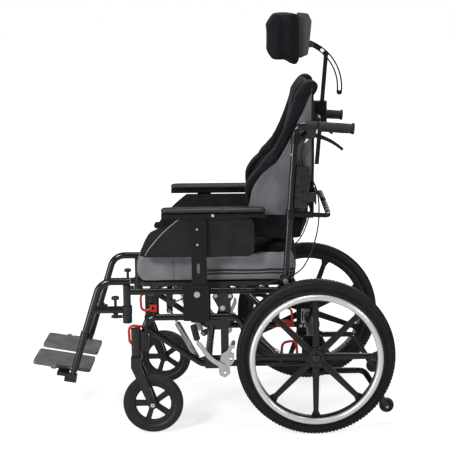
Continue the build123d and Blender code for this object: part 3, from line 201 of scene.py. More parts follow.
PLATE = Finish("footplate_coat", "footplate_grey", (0.125, 0.126, 0.128), 0.4, scale=1100, depth=0.3,
               wear=0.6, worn=(0.2, 0.2, 0.21), dust=0.3)
TAPE = Finish("bar_tape", "grip_rubber", (0.3, 0.3, 0.31), 0.4, relief=Relief.BRUSHED, scale=600, depth=0.2,
              wear=0.2, worn=(0.2, 0.2, 0.2), dust=0.2)
STRUT_BARREL = Finish("strut_barrel", "strut_black", (0.62, 0.62, 0.63), 0.2, metallic=0.9,
                      relief=Relief.BRUSHED, scale=900, depth=0.04, wear=0.2, worn=(0.4, 0.4, 0.4))
GRIP = Finish("grip_rubber", "grip_rubber", (0.011, 0.011, 0.0115), 0.6, scale=1800, depth=0.3, dust=0.3,
              wear=0.15, worn=(0.05, 0.05, 0.05))
PAN = Finish("pan_plastic", "pan_plastic", (0.013, 0.013, 0.0135), 0.5, scale=1100, depth=0.3, dust=0.3,
             wear=0.3, worn=(0.06, 0.06, 0.06))
SHELL = Finish("shell_grey", "shell_grey", (0.062, 0.063, 0.067), 0.62, scale=700, depth=0.6, wear=0.5,
               worn=(0.11, 0.11, 0.115), dust=0.3)
SHEATH = Finish("cable_sheath", "cable_black", (0.012, 0.012, 0.012), 0.4, scale=1500, depth=0.1, dust=0.2,
                wear=0.1, worn=(0.05, 0.05, 0.05))
SPACER = Finish("spacer_mesh", "mesh_grey", (0.15, 0.153, 0.168), 0.85, relief=Relief.MESH, scale=1700,
                depth=0.5, dust=0.05, sheen=0.08, specular=0.2, second=(0.0065, 0.0068, 0.0095))
# The seat's spacer mesh is the back's mesh painted lighter: painted light for the brighter light that falls
# on the seat's grey side.
SEAT_SPACER_PAINTED_LIGHT = replace(SPACER, name="seat_mesh_painted_light", colour=(0.225, 0.228, 0.243), sheen=0.03, specular=0.12,
                      second=(0.005, 0.0052, 0.007))
COVER = Finish("stretch_cover", "cover_black", (0.0068, 0.0071, 0.0098), 0.82, relief=Relief.WEAVE,
               scale=2300, depth=0.4, dust=0.08, sheen=0.05, specular=0.18)
PIPING = Finish("piping_black", "cover_black", (0.008, 0.008, 0.01), 0.7, relief=Relief.WEAVE, scale=3000,
                depth=0.3, dust=0.1, sheen=0.15, specular=0.3)
# A light grey for the cord along the side guard's edge: a painted highlight, standing in for the light that
# the guard's edge catches.
PAINTED_EDGE_HIGHLIGHT = Finish("painted_edge_highlight", "mesh_grey", (0.42, 0.42, 0.44), 0.55, relief=Relief.WEAVE, scale=2600,
                   depth=0.3, dust=0.1, sheen=0.2)


class Graph:
    """A thin wrapper that adds nodes to one node tree."""

    def __init__(self, tree: bpy.types.NodeTree) -> None:
        self.tree = tree

    def add(self, kind: str, inputs: dict[str | int, object] | None = None,
            **settings: object) -> bpy.types.Node:
        """Adds a node, sets its properties and feeds its inputs.

        Args:
            kind: The node's type name.
            inputs: What its inputs get, by their name or number.
            **settings: Properties of the node.

        Returns:
            The new node.
        """
        node = self.tree.nodes.new(kind)
        for key, value in settings.items():
            setattr(node, key, value)
        for key, value in (inputs or {}).items():
            self.feed(node.inputs[key], value)
        return node

    def feed(self, socket: Socket, value: object) -> None:
        """Links a socket or sets its value."""
        if isinstance(value, Socket):
            self.tree.links.new(value, socket)
        elif isinstance(value, tuple) and len(value) == 3 and socket.type == "RGBA":
            socket.default_value = (*value, 1.0)
        else:
            socket.default_value = value

    def math(self, operation: str, *values: object, clamp: bool = False) -> Socket:
        """Adds a Math node and returns its result."""
        return self.add("ShaderNodeMath", dict(enumerate(values)), operation=operation,
                        use_clamp=clamp).outputs[0]

    def times(self, a: object, b: object) -> Socket:
        """The product of two values."""
        return self.math("MULTIPLY", a, b)

    def plus(self, a: object, b: object) -> Socket:
        """The sum of two values."""
        return self.math("ADD", a, b)

    def minus(self, a: object, b: object) -> Socket:
        """The difference of two values."""
        return self.math("SUBTRACT", a, b)

    def step(self, value: object, low: float, high: float, bottom: float = 0.0,
             top: float = 1.0) -> Socket:
        """Adds a smooth step from bottom to top between low and high."""
        inputs = {"Value": value, "From Min": low, "From Max": high, "To Min": bottom, "To Max": top}
        return self.add("ShaderNodeMapRange", inputs, interpolation_type="SMOOTHSTEP").outputs["Result"]

    def line(self, value: object, middle: float, outer: float, inner: float) -> Socket:
        """Adds a line: 1 within inner of its middle, and 0 beyond outer."""
        return self.step(self.math("ABSOLUTE", self.minus(value, middle)), outer, inner)

    def noise(self, where: object, scale: object, detail: float = 3.0) -> Socket:
        """Adds a Noise texture and returns its value."""
        inputs = {"Vector": where, "Scale": scale, "Detail": detail}
        return self.add("ShaderNodeTexNoise", inputs).outputs[0]

    def scaled(self, vector: object, share: object) -> Socket:
        """A vector or colour times a number."""
        inputs = {0: vector, "Scale": share}
        return self.add("ShaderNodeVectorMath", inputs, operation="SCALE").outputs[0]

    def mix(self, factor: object, a: object, b: object) -> Socket:
        """Mixes two colours."""
        return self.add("ShaderNodeMix", {0: factor, 6: a, 7: b}, data_type="RGBA").outputs[2]

    def place(self) -> Socket:
        """The place on the piece, in metres in the shared frame."""
        return self.add("ShaderNodeTexCoord").outputs["Object"]

    def split(self, vector: object) -> list[Socket]:
        """The three parts of a vector."""
        return list(self.add("ShaderNodeSeparateXYZ", {0: vector}).outputs)

    def use(self, group: bpy.types.NodeTree, **values: object) -> bpy.types.Node:
        """Adds a group node and feeds its inputs."""
        return self.add("ShaderNodeGroup", values, node_tree=group)


FLOAT, COLOUR = "NodeSocketFloat", "NodeSocketColor"
Mask = Callable[[Graph], Socket]


def new_group(name: str, inputs: dict[str, str], outputs: dict[str, str]):
    """Makes an empty shader group from the names and types of its sockets.

    Returns:
        The group, its graph, what comes into it and what goes out of it.
    """
    tree = bpy.data.node_groups.new(name, "ShaderNodeTree")
    for way, sockets in (("INPUT", inputs), ("OUTPUT", outputs)):
        for label, kind in sockets.items():
            tree.interface.new_socket(label, in_out=way, socket_type=kind)
    graph = Graph(tree)
    return tree, graph, graph.add("NodeGroupInput").outputs, graph.add("NodeGroupOutput").inputs


def new_relief(name: str):
    """Makes an empty relief group: a scale comes in, a height and a tone go out.

    Returns:
        The group, its graph, the scale, the sockets that go out and the place on the piece.
    """
    tree, graph, given, out = new_group(name, {"Scale": FLOAT}, {"Height": FLOAT, "Tone": FLOAT})
    return tree, graph, given["Scale"], out, graph.place()


@dataclass
class Wardrobe:
    """Builds the shared shader groups once, and each material from its finish."""

    groups: dict[str, bpy.types.NodeTree] = field(default_factory=dict)
    made: dict[str, bpy.types.Material] = field(default_factory=dict)

    def __post_init__(self) -> None:
        self.groups.update(wear=self.edge_wear(), dust=self.dust(), grain=self.grain(),
                           weave=self.weave(), mesh=self.spacer(), brushed=self.brushed(),
                           tread=self.tread())

    @staticmethod
    def edge_wear() -> bpy.types.NodeTree:
        """Rubbed edges: where a bevelled normal leaves the true one, broken up by noise."""
        tree, g, given, out = new_group("edge_wear", {"Colour": COLOUR, "Worn": COLOUR, "Amount": FLOAT},
                                        {"Colour": COLOUR})
        bevelled = g.add("ShaderNodeBevel", {"Radius": 0.0012}, samples=4).outputs[0]
        normal = g.add("ShaderNodeNewGeometry").outputs["Normal"]
        dot = g.add("ShaderNodeVectorMath", {0: bevelled, 1: normal}, operation="DOT_PRODUCT")
        edge = g.step(dot.outputs["Value"], 0.985, 0.86)
        rubbed = g.step(g.noise(g.place(), 70.0, 5.0), 0.42, 0.62)
        amount = g.math("MULTIPLY", g.times(edge, rubbed), given["Amount"], clamp=True)
        g.feed(out["Colour"], g.mix(amount, given["Colour"], given["Worn"]))
        return tree

    @staticmethod
    def dust() -> bpy.types.NodeTree:
        """A thin veil of dust on faces that look up."""
        tree, g, given, out = new_group("dust", {"Colour": COLOUR, "Amount": FLOAT},
                                        {"Colour": COLOUR, "Veil": FLOAT})
        up = g.step(g.split(g.add("ShaderNodeNewGeometry").outputs["Normal"])[2], 0.35, 1.0)
        spots = g.step(g.noise(g.place(), 38.0, 6.0), 0.4, 0.75)
        veil = g.times(g.times(up, spots), g.times(given["Amount"], 0.12))
        g.feed(out["Colour"], g.mix(veil, given["Colour"], (0.33, 0.32, 0.3)))
        g.feed(out["Veil"], veil)
        return tree

    @staticmethod
    def grain() -> bpy.types.NodeTree:
        """Fine cells and mottling, for powder coat and moulded plastic."""
        tree, g, scale, out, where = new_relief("grain")
        cells = g.add("ShaderNodeTexVoronoi", {"Vector": where, "Scale": scale}, feature="SMOOTH_F1")
        fine = g.noise(where, g.times(scale, 0.6), 4.0)
        g.feed(out["Height"], g.plus(cells.outputs["Distance"], fine))
        g.feed(out["Tone"], g.noise(where, 24.0, 4.0))
        return tree

    @staticmethod
    def weave() -> bpy.types.NodeTree:
        """A knitted cover: rows of loops with a slow variation in tone."""
        tree, g, scale, out, where = new_relief("weave")
        x, y, z = g.split(where)
        along, rows = (g.math("SINE", g.times(g.plus(a, g.times(y, slant)), scale))
                       for a, slant in ((x, 0.7), (z, 0.3)))
        g.feed(out["Height"], g.times(g.plus(along, 1.0), g.plus(rows, 1.0)))
        g.feed(out["Tone"], g.noise(where, 14.0, 5.0))
        return tree

    @staticmethod
    def spacer() -> bpy.types.NodeTree:
        """Spacer mesh: upright ribs with rows of small holes between them."""
        tree, g, scale, out, where = new_relief("spacer")
        x, y, z = g.split(where)
        ribs = g.math("SINE", g.times(g.plus(x, y), scale))
        rows = g.math("SINE", g.times(z, g.times(scale, 0.8)))
        holes = g.step(g.times(ribs, rows), 0.1, 0.75)
        g.feed(out["Height"], g.minus(g.times(ribs, 0.6), holes))
        g.feed(out["Tone"], g.minus(g.noise(where, 11.0, 4.0), g.times(holes, 0.3)))
        return tree

    @staticmethod
    def brushed() -> bpy.types.NodeTree:
        """Fine drawn lines with a soft variation."""
        tree, g, scale, out, where = new_relief("brushed")
        drawn = g.add("ShaderNodeMapping", {"Vector": where, "Scale": (0.08, 1.0, 1.0)}).outputs[0]
        g.feed(out["Height"], g.noise(drawn, scale, 3.0))
        g.feed(out["Tone"], g.noise(where, 30.0, 4.0))
        return tree

    @staticmethod
    def tread() -> bpy.types.NodeTree:
        """Two fine rings and slanted shoulder lines round the rear axle, with fine grain."""
        tree, g, scale, out, where = new_relief("tread")
        x, _, z = g.split(where)
        dx, dz = g.minus(x, WHEEL_CENTRE.x), g.minus(z, WHEEL_CENTRE.z)
        radius = g.math("SQRT", g.plus(g.times(dx, dx), g.times(dz, dz)))
        turn = g.math("ARCTAN2", dz, dx)
        lines = g.math("SINE", g.plus(g.times(turn, 170.0), g.times(radius, 900.0)))
        shoulder = g.times(g.step(radius, 0.2475, 0.2495), g.step(radius, 0.2595, 0.2575))
        rings = g.plus(g.line(radius, 0.2335, 0.0012, 0.0004), g.line(radius, 0.2425, 0.0012, 0.0004))
        raised = g.plus(g.times(g.step(lines, -0.2, 0.2), g.times(shoulder, 3.0)), g.times(rings, 2.0))
        g.feed(out["Height"], g.plus(raised, g.noise(where, scale, 3.0)))
        g.feed(out["Tone"], g.noise(where, 20.0, 5.0))
        return tree

    def material(self, finish: Finish, mask: Mask | None = None, label: str = "") -> bpy.types.Material:
        """Makes, once, the material of a finish.

        Args:
            finish: The numbers to use.
            mask: Adds nodes that give 1 where the finish's second colour shows.
            label: A name for a masked material.

        Returns:
            The material.
        """
        name = label or finish.name
        if name in self.made:
            return self.made[name]
        material = bpy.data.materials.new(name)
        material.use_nodes = True
        material.node_tree.nodes.clear()
        g = Graph(material.node_tree)
        kind = "grain" if finish.relief is Relief.SMOOTH else finish.relief.value
        relief = g.use(self.groups[kind], Scale=finish.scale)
        height, tone = relief.outputs["Height"], relief.outputs["Tone"]
        colour: object = finish.colour
        if mask is not None and finish.second is not None:
            share = mask(g)
            colour = g.mix(share, finish.colour, finish.second)
            cloth = g.use(self.groups["weave"], Scale=COVER.scale)
            height = g.add("ShaderNodeMix", {0: share, 2: height, 3: cloth.outputs["Height"]},
                           data_type="FLOAT").outputs[0]
        swing = min(0.2, 0.02 + finish.depth)
        varied = g.scaled(colour, g.step(tone, 0.3, 0.7, 1.0 - swing, 1.0 + swing))
        worn = g.use(self.groups["wear"], Colour=varied, Worn=finish.worn, Amount=finish.wear)
        dusty = g.use(self.groups["dust"], Colour=worn.outputs[0], Amount=finish.dust)
        spread = min(0.07, 0.005 + finish.depth)
        rough = g.step(tone, 0.25, 0.75, max(0.03, finish.roughness - spread),
                       min(1.0, finish.roughness + spread))
        bump = g.add("ShaderNodeBump", {"Strength": min(1.0, finish.depth), "Distance": BUMP_HEIGHT,
                                        "Height": height})
        shader = g.add("ShaderNodeBsdfPrincipled", {
            "Base Color": dusty.outputs["Colour"],
            "Roughness": g.math("ADD", rough, dusty.outputs["Veil"], clamp=True),
            "Metallic": finish.metallic, "Coat Weight": finish.coat, "Coat Roughness": 0.12,
            "Sheen Weight": finish.sheen, "Sheen Roughness": 0.5,
            "Specular IOR Level": finish.specular, "Normal": bump.outputs[0]})
        g.add("ShaderNodeOutputMaterial", {"Surface": shader.outputs[0]})
        self.made[name] = material
        return material

    def dress(self, piece: bpy.types.Object, finish: Finish) -> bpy.types.Object:
        """Gives a piece one finish."""
        piece.data.materials.clear()
        piece.data.materials.append(self.material(finish))
        return piece


def islands(mesh: bpy.types.Mesh) -> list[list[int]]:
    """Lists the face numbers of each separate solid in a mesh with doubled vertices."""
    parent = list(range(len(mesh.polygons)))

    def root(item: int) -> int:
        while parent[item] != item:
            parent[item] = parent[parent[item]]
            item = parent[item]
        return item

    owner: dict[tuple[int, int, int], int] = {}
    for polygon in mesh.polygons:
        for vertex in polygon.vertices:
            key = tuple(round(c / WELD) for c in mesh.vertices[vertex].co)
            if key in owner:
                parent[root(polygon.index)] = root(owner[key])
            else:
                owner[key] = polygon.index
    found: dict[int, list[int]] = {}
    for polygon in mesh.polygons:
        found.setdefault(root(polygon.index), []).append(polygon.index)
    return list(found.values())


Test = Callable[[Vector, Vector], bool]


def within(x0: float, x1: float, z0: float, z1: float) -> Test:
    """A test that a solid lies within limits lengthwise and in height, in chair millimetres."""

    def test(low: Vector, high: Vector) -> bool:
        (front, _, foot), (rear, _, top) = in_mm(low), in_mm(high)
        return x0 <= front and rear <= x1 and z0 <= foot and top <= z1

    return test


def longer_than(size: float) -> Test:
    """A test that a solid is longer than a size along X, in mm."""
    return lambda low, high: (high.x - low.x) * 1000 > size


@dataclass(frozen=True)
class Paint:
    """Which finish a CAD node gets, and which of its solids get another."""

    nodes: tuple[str, ...]
    finish: Finish
    others: tuple[tuple[Test, Finish], ...] = ()

    def apply(self, wardrobe: Wardrobe, nodes: dict[str, bpy.types.Object]) -> None:
        """Paints the nodes."""
        for name in self.nodes:
            piece = nodes[name]
            wardrobe.dress(piece, self.finish)
            for _, finish in self.others:
                piece.data.materials.append(wardrobe.material(finish))
            if not self.others:
                continue
            mesh = piece.data
            for faces in islands(mesh):
                points = [mesh.vertices[v].co for f in faces for v in mesh.polygons[f].vertices]
                low = Vector((min(p[k] for p in points) for k in range(3)))
                high = Vector((max(p[k] for p in points) for k in range(3)))
                for number, (test, _) in enumerate(self.others, 1):
                    if test(low, high):
                        for f in faces:
                            mesh.polygons[f].material_index = number


def both(name: str) -> tuple[str, str]:
    """The right and left nodes of a pair."""
    return "right_" + name, "left_" + name


PAINTS = (
    Paint(("base_frame", "axle_cross_tube", "seat_frame", "back_canes", "headrest_post"), COAT),
    Paint(("headrest_bar", *both("hanger"), *both("anti_tip_arm"),
           *both("footrest_extension"), *both("release_knob"), *both("release_lever")), COAT),
    Paint(both("caster_fork"), COAT, ((within(-560, -520, 80, 120), ZINC),)),
    Paint(("axle_plates", "arm_receivers", "back_cross_bars"), MATTE_COAT),
    Paint(both("armrest_post"), MATTE_COAT, ((within(-400, -370, 625, 700), ZINC),)),
    Paint(both("tyre"), RUBBER),
    Paint(both("mag_wheel"), NYLON),
    Paint(both("handrim"), ALUMINIUM),
    Paint(both("caster_wheel"), NYLON, ((longer_than(180), SOLID_TYRE),)),
    Paint(both("anti_tip_wheel"), SOLID_TYRE),
    Paint(("axle_fittings",), ZINC, ((within(-40, 40, 240, 285), STRUT),)),
    Paint(("base_bolts_and_bearings", "seat_bolts", "wheel_lock_brackets",
           *both("wheel_lock_shoe")), ZINC),
    Paint(both("wheel_lock_lever"), ZINC, ((within(-420, -370, 296, 380), GRIP),)),
    Paint(("gas_strut_rods",), CHROME),
    Paint(("gas_strut_bodies",), STRUT_BARREL),
    Paint(("tie_down_loops",), RED),
    Paint(both("side_guard"), GUARD),
    Paint(both("footplate"), PLATE),
    Paint(("seat_pan", "back_shell"), PAN),
    Paint(("push_grips",), GRIP),
    Paint(("headrest_shell",), SHELL),
)


def fresh(name: str, data: bpy.types.ID) -> bpy.types.Object:
    """Makes an object from a mesh, curve, lamp or camera and links it to the scene."""
    piece = bpy.data.objects.new(name, data)
    bpy.context.scene.collection.objects.link(piece)
    return piece


def applied(piece: bpy.types.Object) -> bpy.types.Object:
    """Bakes a piece's modifiers into its mesh."""
    graph = bpy.context.evaluated_depsgraph_get()
    mesh = bpy.data.meshes.new_from_object(piece.evaluated_get(graph))
    piece.modifiers.clear()
    piece.data = mesh
    return piece


def smooth(piece: bpy.types.Object) -> None:
    """Shades every face of a piece smooth."""
    for polygon in piece.data.polygons:
        polygon.use_smooth = True


@dataclass
class Cushion:
    """A padded piece: a copy of a CAD solid, inflated by cloth simulation inside its seams.

    Attributes:
        node: The CAD node it is made from and replaces.
        body: The body it rides on.
        finish: The finish of its cover.
        seams: How firmly the cover is held at a point, from 0 to 1.
        voxel: The size of the remeshed faces, in metres, as are cap, shrink and fold.
        pressure: What inflates it.
        cap: How far a point may move when inflated.
        shrink: How far the shape is drawn in first.
        fold: The depth of the slack folds.
        fill: How full it is; not used.
        shape: Moves a point before the shape is rounded.
        rounds: How many times it is rounded.
        mask: Adds nodes that give 1 where the second colour shows.
    """

    node: str
    body: str
    finish: Finish
    seams: Callable[[Vector], float]
    voxel: float = 0.005
    pressure: float = 4.0
    cap: float = 0.006
    shrink: float = 0.0015
    fold: float = 0.0012
    fill: float = 0.7
    shape: Callable[[Vector], Vector] | None = None
    rounds: int = 6
    mask: Mask | None = None

    def build(self, wardrobe: Wardrobe, nodes: dict[str, bpy.types.Object]) -> bpy.types.Object:
        """Builds, inflates and dresses the cushion, which rides on its body."""
        piece = fresh(self.node + "_soft", nodes[self.node].data.copy())
        piece.data.materials.clear()
        work = bmesh.new()
        work.from_mesh(piece.data)
        bmesh.ops.remove_doubles(work, verts=work.verts, dist=WELD)
        work.to_mesh(piece.data)
        work.free()
        remesh = piece.modifiers.new("remesh", "REMESH")
        remesh.mode = "VOXEL"
        remesh.voxel_size = self.voxel * 1.0
        applied(piece)
        self.relax(piece)
        self.inflate(piece)
        self.crease(piece)
        finer = piece.modifiers.new("finer", "SUBSURF")
        finer.levels = finer.render_levels = 1
        applied(piece)
        smooth(piece)
        piece.data.materials.append(wardrobe.material(self.finish, self.mask, self.node + "_cloth"))
        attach(piece, self.body)
        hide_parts(self.node)
        return piece

    def relax(self, piece: bpy.types.Object) -> None:
        """Draws the shape in a little and rounds the voxel steps."""
        if self.shape is not None:
            for vertex in piece.data.vertices:
                vertex.co = self.shape(vertex.co)
        soften = piece.modifiers.new("soften", "SMOOTH")
        soften.factor = 0.5
        soften.iterations = self.rounds
        applied(piece)
        normals = [v.normal.copy() for v in piece.data.vertices]
        for vertex, normal in zip(piece.data.vertices, normals):
            vertex.co -= normal * self.shrink

    def inflate(self, piece: bpy.types.Object) -> None:
        """Runs the cloth simulation and caps how far a point may move."""
        rest = [v.co.copy() for v in piece.data.vertices]
        held = piece.vertex_groups.new(name="held")
        for vertex in piece.data.vertices:
            weight = self.seams(vertex.co)
            if weight > 0.0:
                held.add([vertex.index], weight, "REPLACE")
        cloth = piece.modifiers.new("cloth", "CLOTH")
        settings = cloth.settings
        settings.quality = 5
        settings.mass = 0.3
        settings.tension_stiffness = settings.compression_stiffness = settings.shear_stiffness = 12
        settings.bending_stiffness = 0.6
        settings.use_pressure = True
        settings.uniform_pressure_force = self.pressure
        settings.effector_weights.gravity = 0.0
        settings.vertex_group_mass = "held"
        cloth.collision_settings.use_collision = False
        cloth.collision_settings.use_self_collision = False
        scene = bpy.context.scene
        for frame in range(1, CLOTH_FRAMES + 1):
            scene.frame_set(frame)
        graph = bpy.context.evaluated_depsgraph_get()
        moved = [v.co.copy() for v in piece.evaluated_get(graph).data.vertices]
        piece.modifiers.clear()
        scene.frame_set(1)
        for vertex, start, end in zip(piece.data.vertices, rest, moved):
            step = end - start
            if step.length > self.cap:
                step = step.normalized() * self.cap
            vertex.co = start + step

    def crease(self, piece: bpy.types.Object) -> None:
        """Adds slack folds, and draws the surface in along the seams."""
        mesh = piece.data
        normals = [v.normal.copy() for v in mesh.vertices]
        for vertex, normal in zip(mesh.vertices, normals):
            slack = noise.noise(Vector((vertex.co.x * 16, vertex.co.y * 9, vertex.co.z * 7)))
            fine = noise.noise(vertex.co * 42.0)
            held = self.seams(vertex.co)
            vertex.co += normal * (self.fold * (slack + 0.4 * fine) * (1.0 - held) - SEAM_DEPTH * held)


def tube(name: str, points: Sequence[Vector], radius: float) -> bpy.types.Object:
    """Makes a round cord on a smooth line along its control points, all in metres."""
    curve = bpy.data.curves.new(name, "CURVE")
    curve.dimensions = "3D"
    curve.bevel_depth = radius
    curve.bevel_resolution = 4
    curve.resolution_u = 8
    curve.use_fill_caps = True
    spline = curve.splines.new("NURBS")
    spline.points.add(len(points) - 1)
    for point, place in zip(spline.points, points):
        point.co = (*place, 1.0)
    spline.order_u = 3
    spline.use_endpoint_u = True
    return fresh(name, curve)


def lathe(name: str, profile: Sequence[tuple[float, float]], origin: Vector, axis: Vector,
          steps: int, ring: bool = False) -> bpy.types.Object:
    """Turns a profile round an axis.

    Args:
        name: The piece's name.
        profile: Pairs of distance along the axis and radius, in metres.
        origin: Where the profile starts.
        axis: The direction of the axis.
        steps: How many steps make a turn.
        ring: Whether the profile is closed on itself, for a ring with an open middle.

    Returns:
        The turned piece.
    """
    work = bmesh.new()
    verts = [work.verts.new((radius, 0.0, along)) for along, radius in profile]
    edges = [work.edges.new(pair) for pair in zip(verts, verts[1:] + verts[:1] if ring else verts[1:])]
    bmesh.ops.spin(work, geom=verts + edges, cent=(0, 0, 0), axis=(0, 0, 1), angle=math.tau, steps=steps)
    bmesh.ops.remove_doubles(work, verts=work.verts, dist=0.00001)
    bmesh.ops.holes_fill(work, edges=work.edges, sides=steps + 1)
    bmesh.ops.recalc_face_normals(work, faces=work.faces)
    turn = Vector((0, 0, 1)).rotation_difference(axis).to_matrix().to_4x4()
    work.transform(Matrix.Translation(origin) @ turn)
    mesh = bpy.data.meshes.new(name)
    work.to_mesh(mesh)
    work.free()
    piece = fresh(name, mesh)
    smooth(piece)
    return piece


@dataclass(frozen=True)
class Cables:
    """The tilt release cables, down each cane and along the seat rail to the strut."""

    radius: float = 0.0025
    upper: tuple[Point, ...] = (
        (-21.5, 225, 978), (-34, 223, 962), (-43, 218, 936), (-44, 211, 904), (-30, 208, 868),
        (-2, 207, 834), (13, 206, 788), (16, 204, 732), (12, 199, 674), (-1, 195, 620),
        (-19, 195, 572), (-50, 209, 528), (-96.5, 210, 509))
    lower: tuple[Point, ...] = (
        (-97.5, 210, 509), (-134, 210.2, 503), (-168, 209.3, 487), (-212, 209.8, 471),
        (-268, 209.6, 467.6), (-328, 209.9, 466.7), (-380, 209.3, 466), (-408, 207.7, 458.5),
        (-430, 198, 447), (-446, 187, 436), (-461.4, 179.5, 428.5))

    def build(self, wardrobe: Wardrobe) -> None:
        """Builds both cables of each side, with a ferrule at the lever."""
        routes = ((self.upper, "back", "back_cables"), (self.lower, "seat", "seat_cables"))
        for route, body, node in routes:
            for side, name in SIDES:
                places = [mirrored(point, side) for point in route]
                piece = wardrobe.dress(tube(f"{name}_{body}_cable_sheath", places, self.radius), SHEATH)
                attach(piece, body)
                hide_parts(node)
        profile = [(0.0, 0.0), (0.0, 0.0036), (0.003, 0.0048), (0.012, 0.0048), (0.014, 0.0036),
                   (0.02, 0.0032), (0.02, 0.0)]
        for side, name in SIDES:
            start, after = (mirrored(point, side) for point in self.upper[:2])
            sleeve = lathe(f"{name}_cable_ferrule", profile, start, (after - start).normalized(), 24)
            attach(wardrobe.dress(sleeve, ZINC), "back")


@dataclass(frozen=True)
class Screw:
    """A round-headed screw with a dished head, standing on a face."""

    name: str
    body: str
    place: Point
    axis: Point
    radius: float
    height: float
    finish: Finish = ZINC

    def build(self, wardrobe: Wardrobe) -> bpy.types.Object:
        """Turns the head and puts it in place."""
        r, h = self.radius / 1000, self.height / 1000
        profile = [(-0.0008, 0.0), (-0.0008, r), (h * 0.5, r), (h * 0.9, r * 0.82), (h, r * 0.6),
                   (h, r * 0.42), (h * 0.45, r * 0.36), (h * 0.45, 0.0)]
        piece = lathe(self.name, profile, at(*self.place), Vector(self.axis), 24)
        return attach(wardrobe.dress(piece, self.finish), self.body)


@dataclass(frozen=True)
class Trim:
    """Small hard pieces that dress the arms, the grips, the canes and the rear bar."""

    grip_start: Point = (14.0, 225.0, 1016.2)
    grip_end: Point = (120.0, 225.0, 1007.9)

    def build(self, wardrobe: Wardrobe) -> None:
        """Builds the trim of both sides."""
        for side, name in SIDES:
            self.arm(wardrobe, side, name)
            self.grip(wardrobe, side, name)
            self.cane(wardrobe, side, name)
        self.bar(wardrobe)

    @staticmethod
    def arm(wardrobe: Wardrobe, side: int, name: str) -> None:
        """The rail's screw, the caster's and anti-tipper's nuts, and a painted highlight on the guard's edge.
        """
        heads = (("rail_screw", "arm", (-332, 257, 733), 5.2, 2.6),
                 ("caster_nut", "caster_fork", (-540, 276, 100), 7.4, 2.4),
                 ("anti_tip_nut", "anti_tip_arm", (243, 226.5, 66), 4.6, 2.2))
        for label, body, (x, y, z), radius, height in heads:
            Screw(f"{name}_{label}", f"{name}_{body}", (x, side * y, z), (0, side, 0), radius,
                  height).build(wardrobe)
        # A light grey cord along the guard's upper front edge: a painted highlight where the edge catches the
        # light.
        edge = ((-556, 600), (-548, 616), (-524, 645), (-500, 672), (-474, 696), (-444, 719))
        places = [at(x, side * GUARD_Y, z) for x, z in edge]
        piece = wardrobe.dress(tube(f"{name}_guard_highlight_cord", places, 0.0011), PAINTED_EDGE_HIGHLIGHT)
        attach(piece, f"{name}_arm")

    def grip(self, wardrobe: Wardrobe, side: int, name: str) -> None:
        """Finger ribs round each push grip."""
        start, end = mirrored(self.grip_start, side), mirrored(self.grip_end, side)
        length = (end - start).length
        profile = [(0.0, 0.015)]
        ribs = 15
        for rib in range(ribs):
            low = length * (rib + 0.12) / ribs
            high = length * (rib + 0.88) / ribs
            crown = 0.0166 + 0.0006 * math.sin(rib / ribs * math.tau * 2)
            profile += [(low, 0.0153), (low + 0.0008, crown), (high - 0.0008, crown), (high, 0.0153)]
        profile.append((length, 0.015))
        piece = lathe(f"{name}_grip_ribs", profile, start, (end - start).normalized(), 32)
        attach(wardrobe.dress(piece, GRIP), "back")

    @staticmethod
    def cane(wardrobe: Wardrobe, side: int, name: str) -> None:
        """Screws on the cane and on the back shell's mount, and the piping of the back's rear edge."""
        edge = ((-46, 668), (-14, 780), (-3, 850), (-3, 960), (-3, 1092))
        rear = [at(x, side * 199, z) for x, z in edge]
        piece = wardrobe.dress(tube(f"{name}_rear_piping", rear, 0.0028), PIPING)
        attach(piece, "back")
        spots = ((-75, 236.2, 927, 3.6), (-62, MOUNT_Y, 868, 4.4), (-44, MOUNT_Y, 852, 4.4),
                 (-60, MOUNT_Y, 824, 5.0), (-42, MOUNT_Y, 806, 4.0), (-62, MOUNT_Y, 784, 4.4),
                 (-36, MOUNT_Y, 772, 4.4))
        for number, (x, y, z, radius) in enumerate(spots):
            finish = ZINC if number == 0 else MATTE_COAT
            Screw(f"{name}_cane_screw_{number}", "back", (x, side * y, z), (0, side, 0), radius, 3.0,
                  finish).build(wardrobe)

    @staticmethod
    def bar(wardrobe: Wardrobe) -> None:
        """Light and dark wraps round the rear bar."""
        for side, name in SIDES:
            for number in range(8):
                start = side * (184 - number * 21)
                finish, length = (TAPE, 0.0185) if number % 2 == 0 else (GRIP, 0.0165)
                profile = [(0.0, 0.0079), (0.0008, 0.0092), (length - 0.0008, 0.0092), (length, 0.0079)]
                piece = lathe(f"{name}_bar_wrap_{number}", profile, at(45, start, 730),
                              Vector((0, -side, 0)), 24)
                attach(wardrobe.dress(piece, finish), "back")


